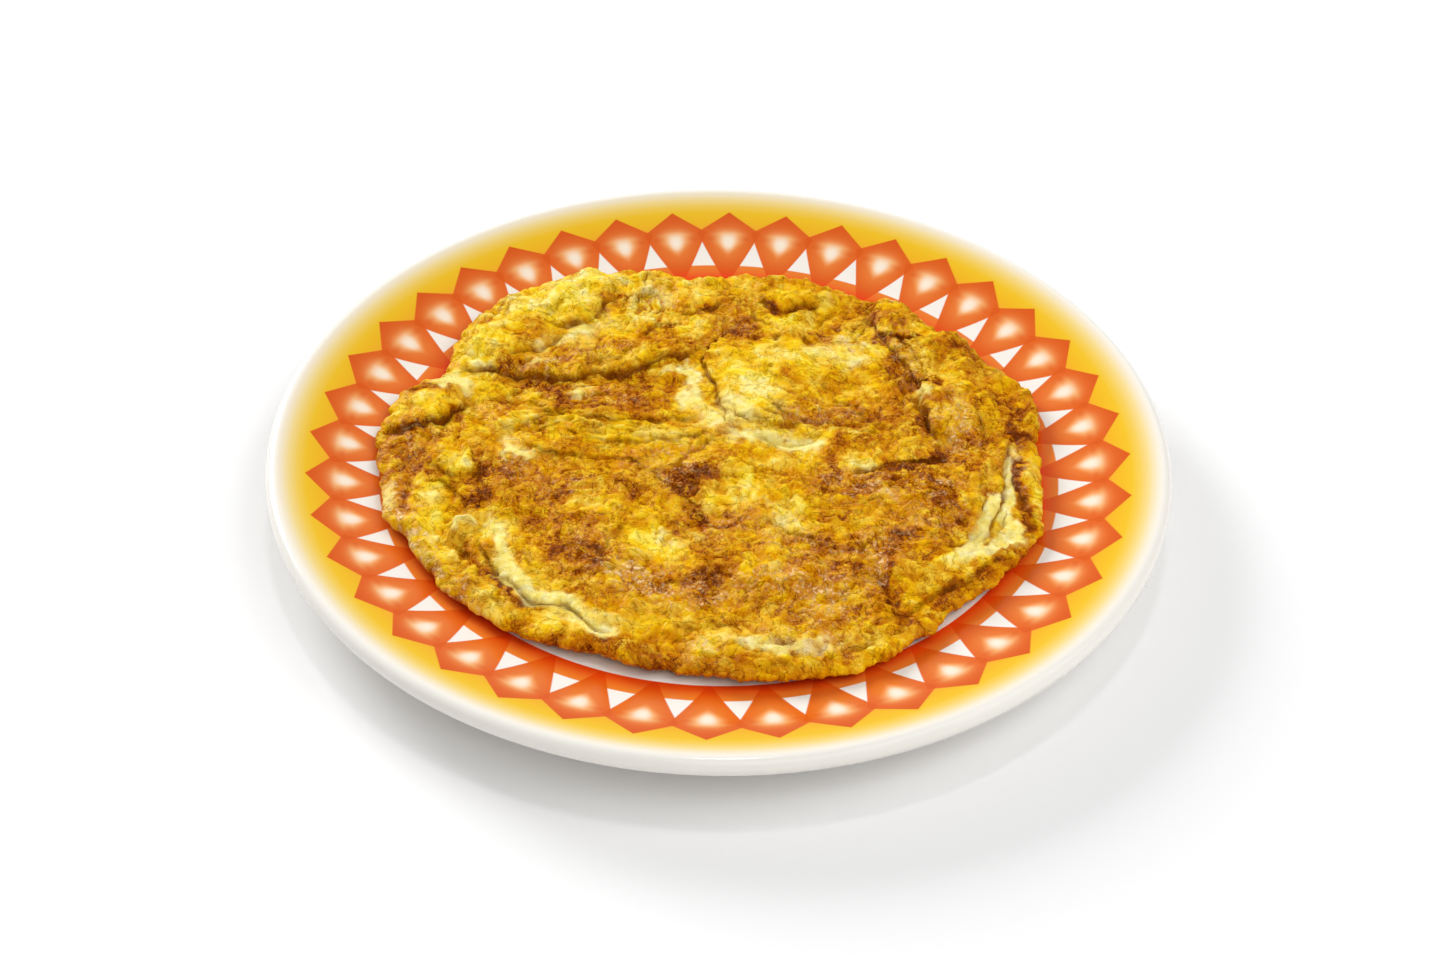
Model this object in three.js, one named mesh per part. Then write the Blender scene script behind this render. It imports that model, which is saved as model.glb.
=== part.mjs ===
// A browned omelette with folded edges, lying in the well of its round glazed plate.
// Millimetres, +Z up. The origin is the middle of the plate's foot, where it stands.
// +X is the right of the plate and +Y its far side, as someone about to eat sees it.
import * as THREE from "three";

// Driving sizes of the plate
const plateDiameter = 266;
const plateThickness = 6;
const wellHeight = 9.5;       // glazed top of the flat well, above the table
const wellRadius = 82;        // where the flat well starts to bend up
const bendRadius = 112;       // where the bend has become the straight rim
const rimSlope = 0.37;        // how far the straight rim rises for each millimetre outwards
const footRadius = 79;        // outer edge of the ring that the plate stands on
const footWidth = 4;
const footFlare = 2.5;        // how far the foot widens towards the plate
const plateSides = 72;        // a multiple of 4, so that the plate is as wide along X as along Y
const bendSteps = 8;
const lipSteps = 7;

// Driving sizes of the omelette
const layerThickness = 8;     // one layer of cooked egg
const outlineRadius = 92;     // mean distance of its edge from the plate's middle
const edgeRoll = 5;           // how far in from the outline the rounded edge starts
const edgeSag = 1.6;          // how far the layer sinks towards its outline
const edgeSagReach = 14;
const restGap = 0.3;          // between the omelette and the glaze
const topRings = 31;          // rings of points over the top, each with six more points than the last
const edgeAngles = [55, 20, -15, -50, -82];
const snapReach = 1.3;        // corners of the top this near a fold line move onto it, so that the fold runs clean
const underRings = [{ part: 0.86, points: 93 }, { part: 0.45, points: 31 }];

// Bays and bulges of the outline: at which angle, how wide in degrees, how far out
const outlineBulges = [
  { name: "right flap", at: 17, wide: 11, out: 7 },
  { name: "far right lobe", at: 36, wide: 4, out: 4 },
  { name: "far right corner", at: 53, wide: 3.5, out: 4 },
  { name: "small far notch", at: 82, wide: 3, out: -2.5 },
  { name: "far notch", at: 96, wide: 7, out: -4.5 },
  { name: "far left fold", at: 127, wide: 19, out: 8 },
  { name: "notch beside the fold", at: 157, wide: 8, out: -7.5 },
  { name: "left side", at: 175, wide: 33, out: 10 },
  { name: "left corner", at: 198, wide: 3.5, out: 2.5 },
  { name: "left front", at: 227, wide: 21, out: 4.5 },
  { name: "near bay", at: 244, wide: 10, out: -2 },
  { name: "right front", at: 296, wide: 19, out: 5 },
  { name: "right front notch", at: 323, wide: 8, out: -4 },
  { name: "right corner", at: 340, wide: 24, out: 4.5 },
];

// Where one layer of egg ends on top of another, walked with the upper layer on the left hand.
// rise: how far its edge stands up; reach: how far back that swelling fades;
// gap: how deep the crease in front of it is; width: how wide that crease is.
const foldLines = [
  {
    name: "far left fold", rise: 4.8, reach: 28, gap: 3, width: 4,
    path: [[-84, 37], [-74, 32.5], [-62, 31], [-50, 30.5], [-38, 31], [-29, 32.5], [-22, 37], [-12, 41.5], [-4, 47],
      [4, 51]],
  },
  {
    name: "ridge on the far left fold", rise: 2.4, reach: 15, gap: 1.6, width: 3,
    path: [[-56, 56.5], [-50, 54.5], [-45, 55.5], [-41, 58.5], [-38, 63], [-36.5, 68], [-31, 71]],
  },
  {
    name: "left curl", rise: 3.4, reach: 9, gap: 2.6, width: 3.5,
    path: [[-100, 3], [-94, 5.5], [-89, 7.5], [-84, 8.5], [-80.5, 12], [-78.5, 17], [-77.5, 23]],
  },
  {
    name: "right flap", rise: 2.8, reach: 20, gap: 3.6, width: 3.5,
    path: [[45, 75], [48, 64], [51, 55], [54.5, 47], [57, 40], [58.5, 32], [60, 24], [62, 16], [63.5, 8], [65, 0],
      [65.5, -6]],
  },
  {
    name: "shelf beside the right flap", rise: 1.6, reach: 9, gap: 2.4, width: 3.5,
    path: [[38, -15], [45, -9.5], [53, -8.5], [60, -7], [67, -5]],
  },
  {
    name: "smooth bump", rise: 1.8, reach: 14, gap: 1.6, width: 2.5,
    path: [[-2, 51], [-5, 43], [-4.5, 37], [-2, 30], [0, 24], [1, 18], [2.5, 12], [6, 6]],
  },
  {
    name: "upper layer's right edge", rise: 1.2, reach: 12, gap: 3, width: 4,
    path: [[47, -78], [55, -67], [62, -58], [69, -50], [75, -41], [79.5, -31], [81.5, -22], [82.5, -13], [84, -4],
      [86, 4]],
  },
  {
    name: "upper layer's left edge", rise: 2.2, reach: 12, gap: 2.6, width: 3.5,
    path: [[-73, -40], [-68, -50], [-63, -58], [-57.5, -65.5], [-52, -69.5], [-43, -70.5], [-38, -74], [-32, -79.5],
      [-25, -85]],
  },
  {
    name: "first wrinkle", rise: 1.1, reach: 5, gap: 1, width: 2.5,
    path: [[-57, 15], [-48, 12], [-38, 10], [-28, 9.5], [-18, 9], [-10, 11], [-3, 17]],
  },
  {
    name: "second wrinkle", rise: 1.2, reach: 5, gap: 1, width: 2.5,
    path: [[-51, 9], [-44, 4.5], [-37, 1], [-28, -0.5], [-18, 0.5], [-9, 3], [-1, 9]],
  },
  {
    name: "third wrinkle", rise: 1.1, reach: 6, gap: 1.1, width: 2.5,
    path: [[-61, -1], [-52, -4.5], [-44, -6.5], [-36, -7.5], [-28, -6.5], [-22, -9.5], [-18, -13.5], [-12, -21],
      [-5, -31]],
  },
  {
    name: "far hole", rise: 2.2, reach: 8, gap: 3.4, width: 3,
    path: [[12, 75], [15, 69], [19, 67.5], [25, 69.5], [30, 72], [36, 74]],
  },
  {
    name: "far lobe", rise: 1.8, reach: 9, gap: 2, width: 3,
    path: [[-13, 63.5], [-8, 65.5], [-3, 68], [2, 72]],
  },
];

// Creases with both sides alike
const creases = [
  { name: "left arm of the V", depth: 2.2, width: 2.5, path: [[38, -49], [43, -52], [46, -57], [48, -63], [50, -72]] },
  { name: "right arm of the V", depth: 2, width: 3, path: [[49, -74], [55, -68], [60, -63.5], [66, -59], [72, -56]] },
  { name: "left valley", depth: 2.2, width: 5, path: [[-76, 26], [-72, 14], [-67, 6], [-61, -3]] },
  { name: "middle valley", depth: 1.5, width: 6, path: [[0, 9], [8, 5], [16, 3], [25, 3.5], [34, 7]] },
  { name: "near pale crease", depth: 1.4, width: 3, path: [[5, -82], [13, -85.5], [21, -86.5], [30, -85]] },
];

// Rounded swellings: middle, half length, half width, turn in degrees, height
const swellings = [
  { name: "far left fold", at: [-60, 64], long: 30, wide: 12, turn: 41, rise: 2.6 },
  { name: "far lobe", at: [-6, 76], long: 9, wide: 7, turn: 90, rise: 1.6 },
  { name: "lobe over the hole", at: [25, 76], long: 9, wide: 5, turn: 0, rise: 1.4 },
  { name: "smooth bump", at: [16, 36], long: 21, wide: 14, turn: 10, rise: 1.8 },
  { name: "right flap", at: [78, 18], long: 26, wide: 13, turn: 100, rise: 2 },
  { name: "far right flap", at: [68, 47], long: 14, wide: 9, turn: 120, rise: 1 },
  { name: "right front", at: [59, -25], long: 16, wide: 13, turn: 20, rise: 2.2 },
  { name: "near middle", at: [20, -56], long: 24, wide: 14, turn: 5, rise: 1.6 },
  { name: "near left", at: [-26, -43], long: 17, wide: 12, turn: -20, rise: 1.8 },
  { name: "left front", at: [-56, -24], long: 16, wide: 11, turn: -35, rise: 1.4 },
  { name: "left side", at: [-86, -16], long: 15, wide: 9, turn: 80, rise: 1.2 },
  { name: "middle", at: [-1, -12], long: 12, wide: 8, turn: 20, rise: 1.4 },
];

// Gentle lumps everywhere: waves in directions a golden angle apart, each shorter and lower than the last
const waves = { count: 12, longest: 46, shrink: 0.86, height: 0.42, goldenAngle: 2.39996 };

const degrees = Math.PI / 180;

// The plate: one profile turned round its axis

// Slope and height of the glazed top at distance r from the middle
function plateSlope(r) {
  return rimSlope * THREE.MathUtils.clamp((r - wellRadius) / (bendRadius - wellRadius), 0, 1);
}

function plateTop(r) {
  const bent = THREE.MathUtils.clamp(r - wellRadius, 0, bendRadius - wellRadius);
  return wellHeight + 0.5 * plateSlope(r) * bent + rimSlope * Math.max(0, r - bendRadius);
}

// Height of the plate's underside, one thickness below the top
function plateUnder(r) {
  return plateTop(r) - plateThickness * Math.hypot(1, plateSlope(r));
}

function plateProfile() {
  const profile = [new THREE.Vector2(0, wellHeight)];
  for (let step = 0; step <= bendSteps; step++) {
    const r = THREE.MathUtils.lerp(wellRadius, bendRadius, step / bendSteps);
    profile.push(new THREE.Vector2(r, plateTop(r)));
  }

  // The lip is half a circle that joins the rim's top to its underside
  const lipRadius = plateThickness / 2;
  const rimAngle = Math.atan(rimSlope);
  const lipTopRadius = plateDiameter / 2 - lipRadius * (1 + Math.sin(rimAngle));
  const lipMiddle = new THREE.Vector2(plateDiameter / 2 - lipRadius,
    plateTop(lipTopRadius) - lipRadius * Math.cos(rimAngle));
  for (let step = 0; step <= lipSteps; step++) {
    const angle = Math.PI / 2 + rimAngle - Math.PI * step / lipSteps;
    profile.push(new THREE.Vector2(lipMiddle.x + lipRadius * Math.cos(angle),
      lipMiddle.y + lipRadius * Math.sin(angle)));
  }

  // Back under the rim and the bend to the foot, round the foot, and across the hollow inside it
  profile.push(new THREE.Vector2(bendRadius, plateUnder(bendRadius)));
  profile.push(new THREE.Vector2((wellRadius + bendRadius) / 2, plateUnder((wellRadius + bendRadius) / 2)));
  const footInside = footRadius - footWidth;
  profile.push(new THREE.Vector2(footRadius + footFlare, plateUnder(footRadius)));
  profile.push(new THREE.Vector2(footRadius, 0));
  profile.push(new THREE.Vector2(footInside, 0));
  profile.push(new THREE.Vector2(footInside - footFlare, plateUnder(footInside)));
  profile.push(new THREE.Vector2(0, plateUnder(0)));
  return profile;
}

// A lathe turns round Y, and reads its profile upwards, so the profile is handed over from foot to well
function makePlate() {
  const glaze = new THREE.MeshStandardMaterial({ color: 0xf07838, roughness: 0.15, metalness: 0 });
  const shape = new THREE.LatheGeometry(plateProfile().reverse(), plateSides);
  shape.rotateX(Math.PI / 2);
  const plate = new THREE.Mesh(shape, glaze);
  plate.name = "plate";
  return plate;
}

// The omelette: a top with folds, a rounded edge, and an underside that follows the glaze

// Distance of the omelette's edge from the plate's middle, in a direction
function outlineAt(angle) {
  let radius = outlineRadius;
  for (const bulge of outlineBulges) {
    const away = THREE.MathUtils.euclideanModulo(angle / degrees - bulge.at + 180, 360) - 180;
    radius += bulge.out * Math.exp(-((away / bulge.wide) ** 2));
  }
  return radius;
}

// A smooth line through hand-placed points, as short straight pieces
function smoothLine(path, pieces = 32) {
  const corners = path.map(([x, y]) => new THREE.Vector3(x, y, 0));
  return new THREE.CatmullRomCurve3(corners).getSpacedPoints(pieces);
}

// How far a point is from a line, more than 0 on its left hand; how far along the line it is, 0 to 1;
// and the line's nearest point
function beside(line, x, y) {
  let best = { side: Infinity, along: 0, x, y };
  for (let i = 0; i < line.length - 1; i++) {
    const stepX = line[i + 1].x - line[i].x;
    const stepY = line[i + 1].y - line[i].y;
    const toX = x - line[i].x;
    const toY = y - line[i].y;
    const part = THREE.MathUtils.clamp((toX * stepX + toY * stepY) / (stepX ** 2 + stepY ** 2), 0, 1);
    const away = Math.hypot(toX - part * stepX, toY - part * stepY);
    if (away < Math.abs(best.side)) {
      const left = stepX * toY - stepY * toX >= 0;
      best = {
        side: left ? away : -away,
        along: (i + part) / (line.length - 1),
        x: line[i].x + part * stepX,
        y: line[i].y + part * stepY,
      };
    }
  }
  return best;
}

// A fold or crease is strong in its middle and fades out towards both ends
function strengthAt(along) {
  return THREE.MathUtils.smoothstep(Math.min(along, 1 - along), 0, 0.16);
}

for (const line of [...foldLines, ...creases]) line.points = smoothLine(line.path);

function foldHeight(fold, x, y) {
  const { side, along } = beside(fold.points, x, y);
  const strength = strengthAt(along);
  if (side < 0) return -strength * fold.gap * Math.exp(-((side / fold.width) ** 2));
  const roundedEdge = Math.sqrt(1 - (1 - Math.min(side / fold.width, 1)) ** 2);
  return strength * (roundedEdge * fold.rise * Math.exp(-side / fold.reach) - fold.gap * (1 - roundedEdge));
}

function creaseHeight(crease, x, y) {
  const { side, along } = beside(crease.points, x, y);
  return -strengthAt(along) * crease.depth * Math.exp(-((side / crease.width) ** 2));
}

function swellingHeight(swelling, x, y) {
  const turn = swelling.turn * degrees;
  const toX = x - swelling.at[0];
  const toY = y - swelling.at[1];
  const along = (toX * Math.cos(turn) + toY * Math.sin(turn)) / swelling.long;
  const across = (toY * Math.cos(turn) - toX * Math.sin(turn)) / swelling.wide;
  return swelling.rise * Math.exp(-(along ** 2 + across ** 2));
}

function waveHeight(x, y) {
  let height = 0;
  for (let i = 0; i < waves.count; i++) {
    const size = waves.shrink ** i;
    const turn = i * waves.goldenAngle;
    const along = x * Math.cos(turn) + y * Math.sin(turn);
    height += waves.height * size * Math.sin(2 * Math.PI * along / (waves.longest * size) + i * i);
  }
  return height;
}

// Height of the omelette's top above the table, before its edge is rounded
function omeletteTop(x, y) {
  const fromEdge = outlineAt(Math.atan2(y, x)) - Math.hypot(x, y);
  let height = wellHeight + restGap + layerThickness + waveHeight(x, y);
  height -= edgeSag * Math.exp(-fromEdge / edgeSagReach);
  for (const fold of foldLines) height += foldHeight(fold, x, y);
  for (const crease of creases) height += creaseHeight(crease, x, y);
  for (const swelling of swellings) height += swellingHeight(swelling, x, y);
  return height;
}

function omeletteUnder(x, y) {
  return plateTop(Math.hypot(x, y)) + restGap;
}

// A corner of the top that lies almost on a fold line is moved onto it
function snapToFold(x, y) {
  for (const line of [...foldLines, ...creases]) {
    const near = beside(line.points, x, y);
    if (Math.abs(near.side) < snapReach && strengthAt(near.along) > 0) return [near.x, near.y];
  }
  return [x, y];
}

// One closed ring of corners, with the height of each worked out from its place
function addRing(corners, count, radiusAt, heightAt, moveTo = (x, y) => [x, y]) {
  const ring = [];
  for (let i = 0; i < count; i++) {
    const angle = 2 * Math.PI * i / count;
    const radius = radiusAt(angle);
    const [x, y] = moveTo(radius * Math.cos(angle), radius * Math.sin(angle));
    ring.push(corners.length / 3);
    corners.push(x, y, heightAt(x, y));
  }
  return ring;
}

// Triangles between two rings that need not have the same number of corners; a ring of one is a middle point
function joinRings(faces, inner, outer) {
  let i = 0;
  let o = 0;
  const innerSteps = inner.length > 1 ? inner.length : 0;
  while (i < innerSteps || o < outer.length) {
    const a = inner[i % inner.length];
    const b = outer[o % outer.length];
    const outerNext = o < outer.length && (i >= innerSteps || (o + 0.5) / outer.length <= (i + 0.5) / innerSteps);
    if (outerNext) {
      faces.push(a, b, outer[(o + 1) % outer.length]);
      o++;
    } else {
      faces.push(a, b, inner[(i + 1) % inner.length]);
      i++;
    }
  }
}

function makeOmelette() {
  const corners = [];
  const rings = [addRing(corners, 1, () => 0, omeletteTop)];
  for (let ring = 1; ring <= topRings; ring++) {
    const part = ring / topRings;
    const move = ring < topRings ? snapToFold : undefined;
    rings.push(addRing(corners, 6 * ring, (angle) => part * (outlineAt(angle) - edgeRoll), omeletteTop, move));
  }

  // The edge is half an ellipse between the top and the underside
  for (const tilt of edgeAngles) {
    const upright = Math.sin(tilt * degrees);
    const outwards = edgeRoll * (1 - Math.cos(tilt * degrees));
    rings.push(addRing(corners, 6 * topRings, (angle) => outlineAt(angle) - outwards, (x, y) => {
      const under = omeletteUnder(x, y);
      return under + 0.5 * (1 + upright) * (omeletteTop(x, y) - under);
    }));
  }

  for (const { part, points } of underRings) {
    rings.push(addRing(corners, points, (angle) => part * (outlineAt(angle) - edgeRoll), omeletteUnder));
  }
  rings.push(addRing(corners, 1, () => 0, omeletteUnder));

  const faces = [];
  const underStart = topRings + edgeAngles.length;
  for (let i = 0; i < rings.length - 1; i++) {
    if (i < underStart) {
      joinRings(faces, rings[i], rings[i + 1]);
      continue;
    }
    const turned = [];
    joinRings(turned, rings[i + 1], rings[i]);
    for (let f = 0; f < turned.length; f += 3) faces.push(turned[f], turned[f + 2], turned[f + 1]);
  }

  const shape = new THREE.BufferGeometry();
  shape.setAttribute("position", new THREE.Float32BufferAttribute(corners, 3));
  shape.setIndex(faces);
  shape.computeVertexNormals();
  const cookedEgg = new THREE.MeshStandardMaterial({ color: 0xc08a26, roughness: 0.5, metalness: 0 });
  const omelette = new THREE.Mesh(shape, cookedEgg);
  omelette.name = "omelette";
  return omelette;
}

const omeletteOnPlate = new THREE.Group();
omeletteOnPlate.add(makePlate(), makeOmelette());

export default omeletteOnPlate;
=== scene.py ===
# %% [markdown]
# # A browned omelette on its patterned plate
# This lesson dresses a finished CAD model: a round glazed plate and the folded omelette in it.
# The CAD solids hold the true sizes. Here they get a fine surface, a glaze, a crust and soft light.
# All lengths below are named in millimetres and turned into metres where a mesh is made.

# %% The frame and the libraries
import math
import bpy
import numpy as np
from mathutils import Matrix, Vector


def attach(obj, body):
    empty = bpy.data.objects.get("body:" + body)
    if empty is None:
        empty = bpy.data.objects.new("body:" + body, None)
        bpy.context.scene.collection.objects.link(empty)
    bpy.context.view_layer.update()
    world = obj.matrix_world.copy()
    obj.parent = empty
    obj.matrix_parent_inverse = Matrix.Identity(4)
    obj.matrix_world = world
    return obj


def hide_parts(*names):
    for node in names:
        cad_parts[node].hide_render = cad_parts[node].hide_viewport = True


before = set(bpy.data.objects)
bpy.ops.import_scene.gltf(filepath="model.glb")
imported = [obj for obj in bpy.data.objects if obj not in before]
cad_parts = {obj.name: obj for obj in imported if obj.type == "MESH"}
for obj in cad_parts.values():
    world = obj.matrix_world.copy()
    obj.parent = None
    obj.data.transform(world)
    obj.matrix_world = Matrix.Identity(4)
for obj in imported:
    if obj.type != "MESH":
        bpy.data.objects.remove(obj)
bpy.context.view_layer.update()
MM = 0.001

# %% [markdown]
# ## The camera
# The photograph was taken from about 39 degrees above the table, from well back, with a slightly long lens.
# A camera could be placed by eye, but the pattern on the plate is regular, so its tips give the exact
# place. The ring of tips is 243 mm across and lies 18.5 mm above the table, and the distances below are
# measured from its middle.

# %% Camera
tips_radius = 121.5
tips_height = 18.5
camera_distance = 6.008 * tips_radius
camera_elevation = math.radians(39.254)
camera_roll = math.radians(0.916)
camera_pan = math.radians(0.0166)
camera_tilt = math.radians(-0.8662)
focal_length = 61.587
sensor_width = 36.0


def camera_axes():
    """Right, up and forward of the camera, after its roll, pan and tilt."""
    forward = Vector((0, math.cos(camera_elevation), -math.sin(camera_elevation)))
    right = Vector((1, 0, 0))
    up = right.cross(forward)
    rolled_right = math.cos(camera_roll) * right + math.sin(camera_roll) * up
    rolled_up = math.cos(camera_roll) * up - math.sin(camera_roll) * right
    panned_right = math.cos(camera_pan) * rolled_right - math.sin(camera_pan) * forward
    panned_forward = math.sin(camera_pan) * rolled_right + math.cos(camera_pan) * forward
    tilted_up = math.cos(camera_tilt) * rolled_up - math.sin(camera_tilt) * panned_forward
    tilted_forward = math.sin(camera_tilt) * rolled_up + math.cos(camera_tilt) * panned_forward
    return panned_right, tilted_up, tilted_forward


def make_camera():
    """The photograph's camera, without blur from distance."""
    right, up, forward = camera_axes()
    data = bpy.data.cameras.new("camera")
    data.lens = focal_length
    data.sensor_width = sensor_width
    data.sensor_fit = "HORIZONTAL"
    data.dof.use_dof = False
    data.clip_start = 0.01
    camera = bpy.data.objects.new("camera", data)
    place = Vector((0, -camera_distance * math.cos(camera_elevation),
                    camera_distance * math.sin(camera_elevation) + tips_height)) * MM
    camera.matrix_world = Matrix((
        (right.x, up.x, -forward.x, place.x),
        (right.y, up.y, -forward.y, place.y),
        (right.z, up.z, -forward.z, place.z),
        (0, 0, 0, 1),
    ))
    bpy.context.scene.collection.objects.link(camera)
    bpy.context.scene.camera = camera
    return camera


camera = make_camera()
print("camera at", [round(v, 3) for v in camera.matrix_world.translation])

# %% [markdown]
# ## Helpers for meshes and materials
# A mesh made from arrays is quick and exact, so a few small helpers turn points and faces into a piece.
# Materials are node trees. Short helpers keep each tree readable, as one line for each step of the sum.

# %% Mesh helper
def add_mesh(name, points_mm, faces, material):
    """A smooth-shaded piece from corner points in millimetres and a list of faces."""
    mesh = bpy.data.meshes.new(name)
    mesh.from_pydata((np.asarray(points_mm) * MM).tolist(), [], faces)
    mesh.polygons.foreach_set("use_smooth", np.ones(len(mesh.polygons), dtype=bool))
    mesh.materials.append(material)
    mesh.update()
    piece = bpy.data.objects.new(name, mesh)
    bpy.context.scene.collection.objects.link(piece)
    return piece


# %% Node helpers
def srgb(red, green, blue):
    """A colour as read off a screen, 0 to 255, turned into the linear values that a shader takes."""
    linear = []
    for value in (red, green, blue):
        share = value / 255
        linear.append(share / 12.92 if share <= 0.04045 else ((share + 0.055) / 1.055) ** 2.4)
    return (*linear, 1.0)


class Tree:
    """A material's node tree, with one short call for each kind of node."""

    def __init__(self, name):
        self.material = bpy.data.materials.new(name)
        self.material.use_nodes = True
        self.nodes = self.material.node_tree.nodes
        self.links = self.material.node_tree.links
        self.shader = self.nodes["Principled BSDF"]

    def feed(self, socket, value):
        """Sets a socket to a plain value, or links it to another node's output."""
        if isinstance(value, bpy.types.NodeSocket):
            self.links.new(value, socket)
        else:
            socket.default_value = value

    def math(self, operation, first, second=0.0, third=0.0, clamp=False):
        """One step of a sum, such as ADD or MULTIPLY_ADD."""
        node = self.nodes.new("ShaderNodeMath")
        node.operation = operation
        node.use_clamp = clamp
        for socket, value in zip(node.inputs, (first, second, third)):
            self.feed(socket, value)
        return node.outputs[0]

    def between(self, value, low, high):
        """0 below low, 1 above high, and a soft step from one to the other."""
        node = self.nodes.new("ShaderNodeMapRange")
        node.interpolation_type = "SMOOTHSTEP"
        self.feed(node.inputs["Value"], value)
        self.feed(node.inputs["From Min"], low)
        self.feed(node.inputs["From Max"], high)
        return node.outputs[0]

    def mix(self, share, first, second):
        """The first colour where the share is 0, the second where it is 1."""
        node = self.nodes.new("ShaderNodeMix")
        node.data_type = "RGBA"
        self.feed(node.inputs[0], share)
        self.feed(node.inputs[6], first)
        self.feed(node.inputs[7], second)
        return node.outputs[2]

    def ramp(self, value, stops):
        """A colour ramp with stops as (place, colour)."""
        node = self.nodes.new("ShaderNodeValToRGB")
        elements = node.color_ramp.elements
        while len(elements) < len(stops):
            elements.new(0.5)
        for element, (place, colour) in zip(elements, stops):
            element.position = place
            element.color = colour
        self.feed(node.inputs[0], value)
        return node.outputs[0]

    def noise(self, place, size_mm, detail=2.0, roughness=0.5, distortion=0.0):
        """Noise whose lumps are about size_mm across; place is in metres."""
        node = self.nodes.new("ShaderNodeTexNoise")
        self.feed(node.inputs["Vector"], place)
        node.inputs["Scale"].default_value = 1 / (size_mm * MM)
        node.inputs["Detail"].default_value = detail
        node.inputs["Roughness"].default_value = roughness
        node.inputs["Distortion"].default_value = distortion
        return node.outputs[0]

    def attribute(self, name):
        """A number that the mesh keeps for each corner."""
        node = self.nodes.new("ShaderNodeAttribute")
        node.attribute_name = name
        return node.outputs["Fac"]

    def place(self):
        """The point on the piece, in metres from the plate's middle."""
        return self.nodes.new("ShaderNodeTexCoord").outputs["Object"]

    def bump(self, height, depth_mm):
        """A relief too fine for the mesh, depth_mm high where height goes from 0 to 1."""
        node = self.nodes.new("ShaderNodeBump")
        node.inputs["Strength"].default_value = 1.0
        node.inputs["Distance"].default_value = depth_mm * MM
        self.feed(node.inputs["Height"], height)
        return node.outputs[0]


# %% [markdown]
# ## The plate's shape
# The real plate is turned on a wheel: a flat well, a bend, a straight sloping rim and a thick rolled lip.
# The CAD plate has flat facets, which would show as corners along the lip, so a finer one stands for it.
# It is the same profile, turned in many more steps. A lathe by hand needs only rings of points and
# quads between them, and that leaves no seam.

# %% Plate sizes
plate_radius = 133.0
plate_thickness = 6.0
well_height = 9.5
well_radius = 82.0
bend_radius = 112.0
rim_slope = 0.37
foot_radius = 79.0
foot_width = 4.0
foot_flare = 2.5
plate_steps_round = 288


def plate_slope(r):
    """How steep the plate's top is at a distance r from the middle."""
    return rim_slope * np.clip((r - well_radius) / (bend_radius - well_radius), 0, 1)


def plate_top(r):
    """Height of the glaze above the table at a distance r from the middle."""
    bent = np.clip(r - well_radius, 0, bend_radius - well_radius)
    return well_height + 0.5 * plate_slope(r) * bent + rim_slope * np.maximum(0, r - bend_radius)


def plate_under(r):
    """Height of the plate's underside, one thickness below the glaze."""
    return plate_top(r) - plate_thickness * np.hypot(1, plate_slope(r))


# %% Plate profile
def rounded_corner(before, corner, after, radius, steps=5):
    """Points of a small curve that replaces a sharp corner of the profile."""
    before, corner, after = (np.array(p, float) for p in (before, corner, after))
    start = corner + radius * (before - corner) / np.linalg.norm(before - corner)
    end = corner + radius * (after - corner) / np.linalg.norm(after - corner)
    curve = []
    for part in np.linspace(0, 1, steps):
        curve.append((1 - part) ** 2 * start + 2 * part * (1 - part) * corner + part ** 2 * end)
    return curve


def plate_profile():
    """From the middle of the well out over the lip and back under to the middle of the hollow."""
    rows = [(r, plate_top(r)) for r in (10.0, 30.0, 50.0, 66.0, 76.0)]
    rows += [(r, plate_top(r)) for r in np.linspace(well_radius, bend_radius, 16)]
    lip_radius = plate_thickness / 2
    rim_angle = math.atan(rim_slope)
    lip_start = plate_radius - lip_radius * (1 + math.sin(rim_angle))
    rows += [(r, plate_top(r)) for r in np.linspace(bend_radius, lip_start, 6)[1:-1]]
    lip_middle = (plate_radius - lip_radius, plate_top(lip_start) - lip_radius * math.cos(rim_angle))
    for angle in np.linspace(math.pi / 2 + rim_angle, rim_angle - math.pi / 2, 22):
        out, up = lip_radius * math.cos(angle), lip_radius * math.sin(angle)
        rows.append((lip_middle[0] + out, lip_middle[1] + up))
    rows += [(r, plate_under(r)) for r in np.linspace(bend_radius + 8, foot_radius + 6, 9)]
    foot_inside = foot_radius - foot_width
    corners = [
        (foot_radius + foot_flare + 2, float(plate_under(foot_radius + foot_flare))),
        (foot_radius + foot_flare, float(plate_under(foot_radius))),
        (foot_radius, 0.0),
        (foot_inside, 0.0),
        (foot_inside - foot_flare, float(plate_under(foot_inside))),
        (foot_inside - foot_flare - 4, float(plate_under(0.0))),
    ]
    for before, corner, after in zip(corners, corners[1:], corners[2:]):
        rows += [tuple(point) for point in rounded_corner(before, corner, after, 0.8)]
    rows += [(r, plate_under(0.0)) for r in (60.0, 40.0, 20.0)]
    return rows


# %% [markdown]
# ## The plate's glaze and pattern
# The rim carries a ring of orange kites on a yellow band, with a small white triangle between each two
# and a pale glow in each kite. A picture could be wrapped round the rim, but the pattern is pure geometry:
# forty equal kites. So it is worked out from the point's angle and distance, which stays sharp at any size.
# One kite is drawn in a frame of its own, mirrored about its axis, and the angle is folded into that frame.

# %% Pattern sizes
kite_count = 40
kite_turn = 8.0            # degrees from +X to the first kite's axis
# Distances from the middle, as shares of the tips' radius
kite_tip = 1.001
kite_notch = 0.943         # where neighbouring kites cross
triangle_base = 0.829
ring_inside = 0.7700
kite_root = 0.7615
outer_edge_slope = 0.776   # of the kite's two outer edges
inner_edge_slope = 2.01    # of its two inner edges
glow_middle = 0.908

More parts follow.
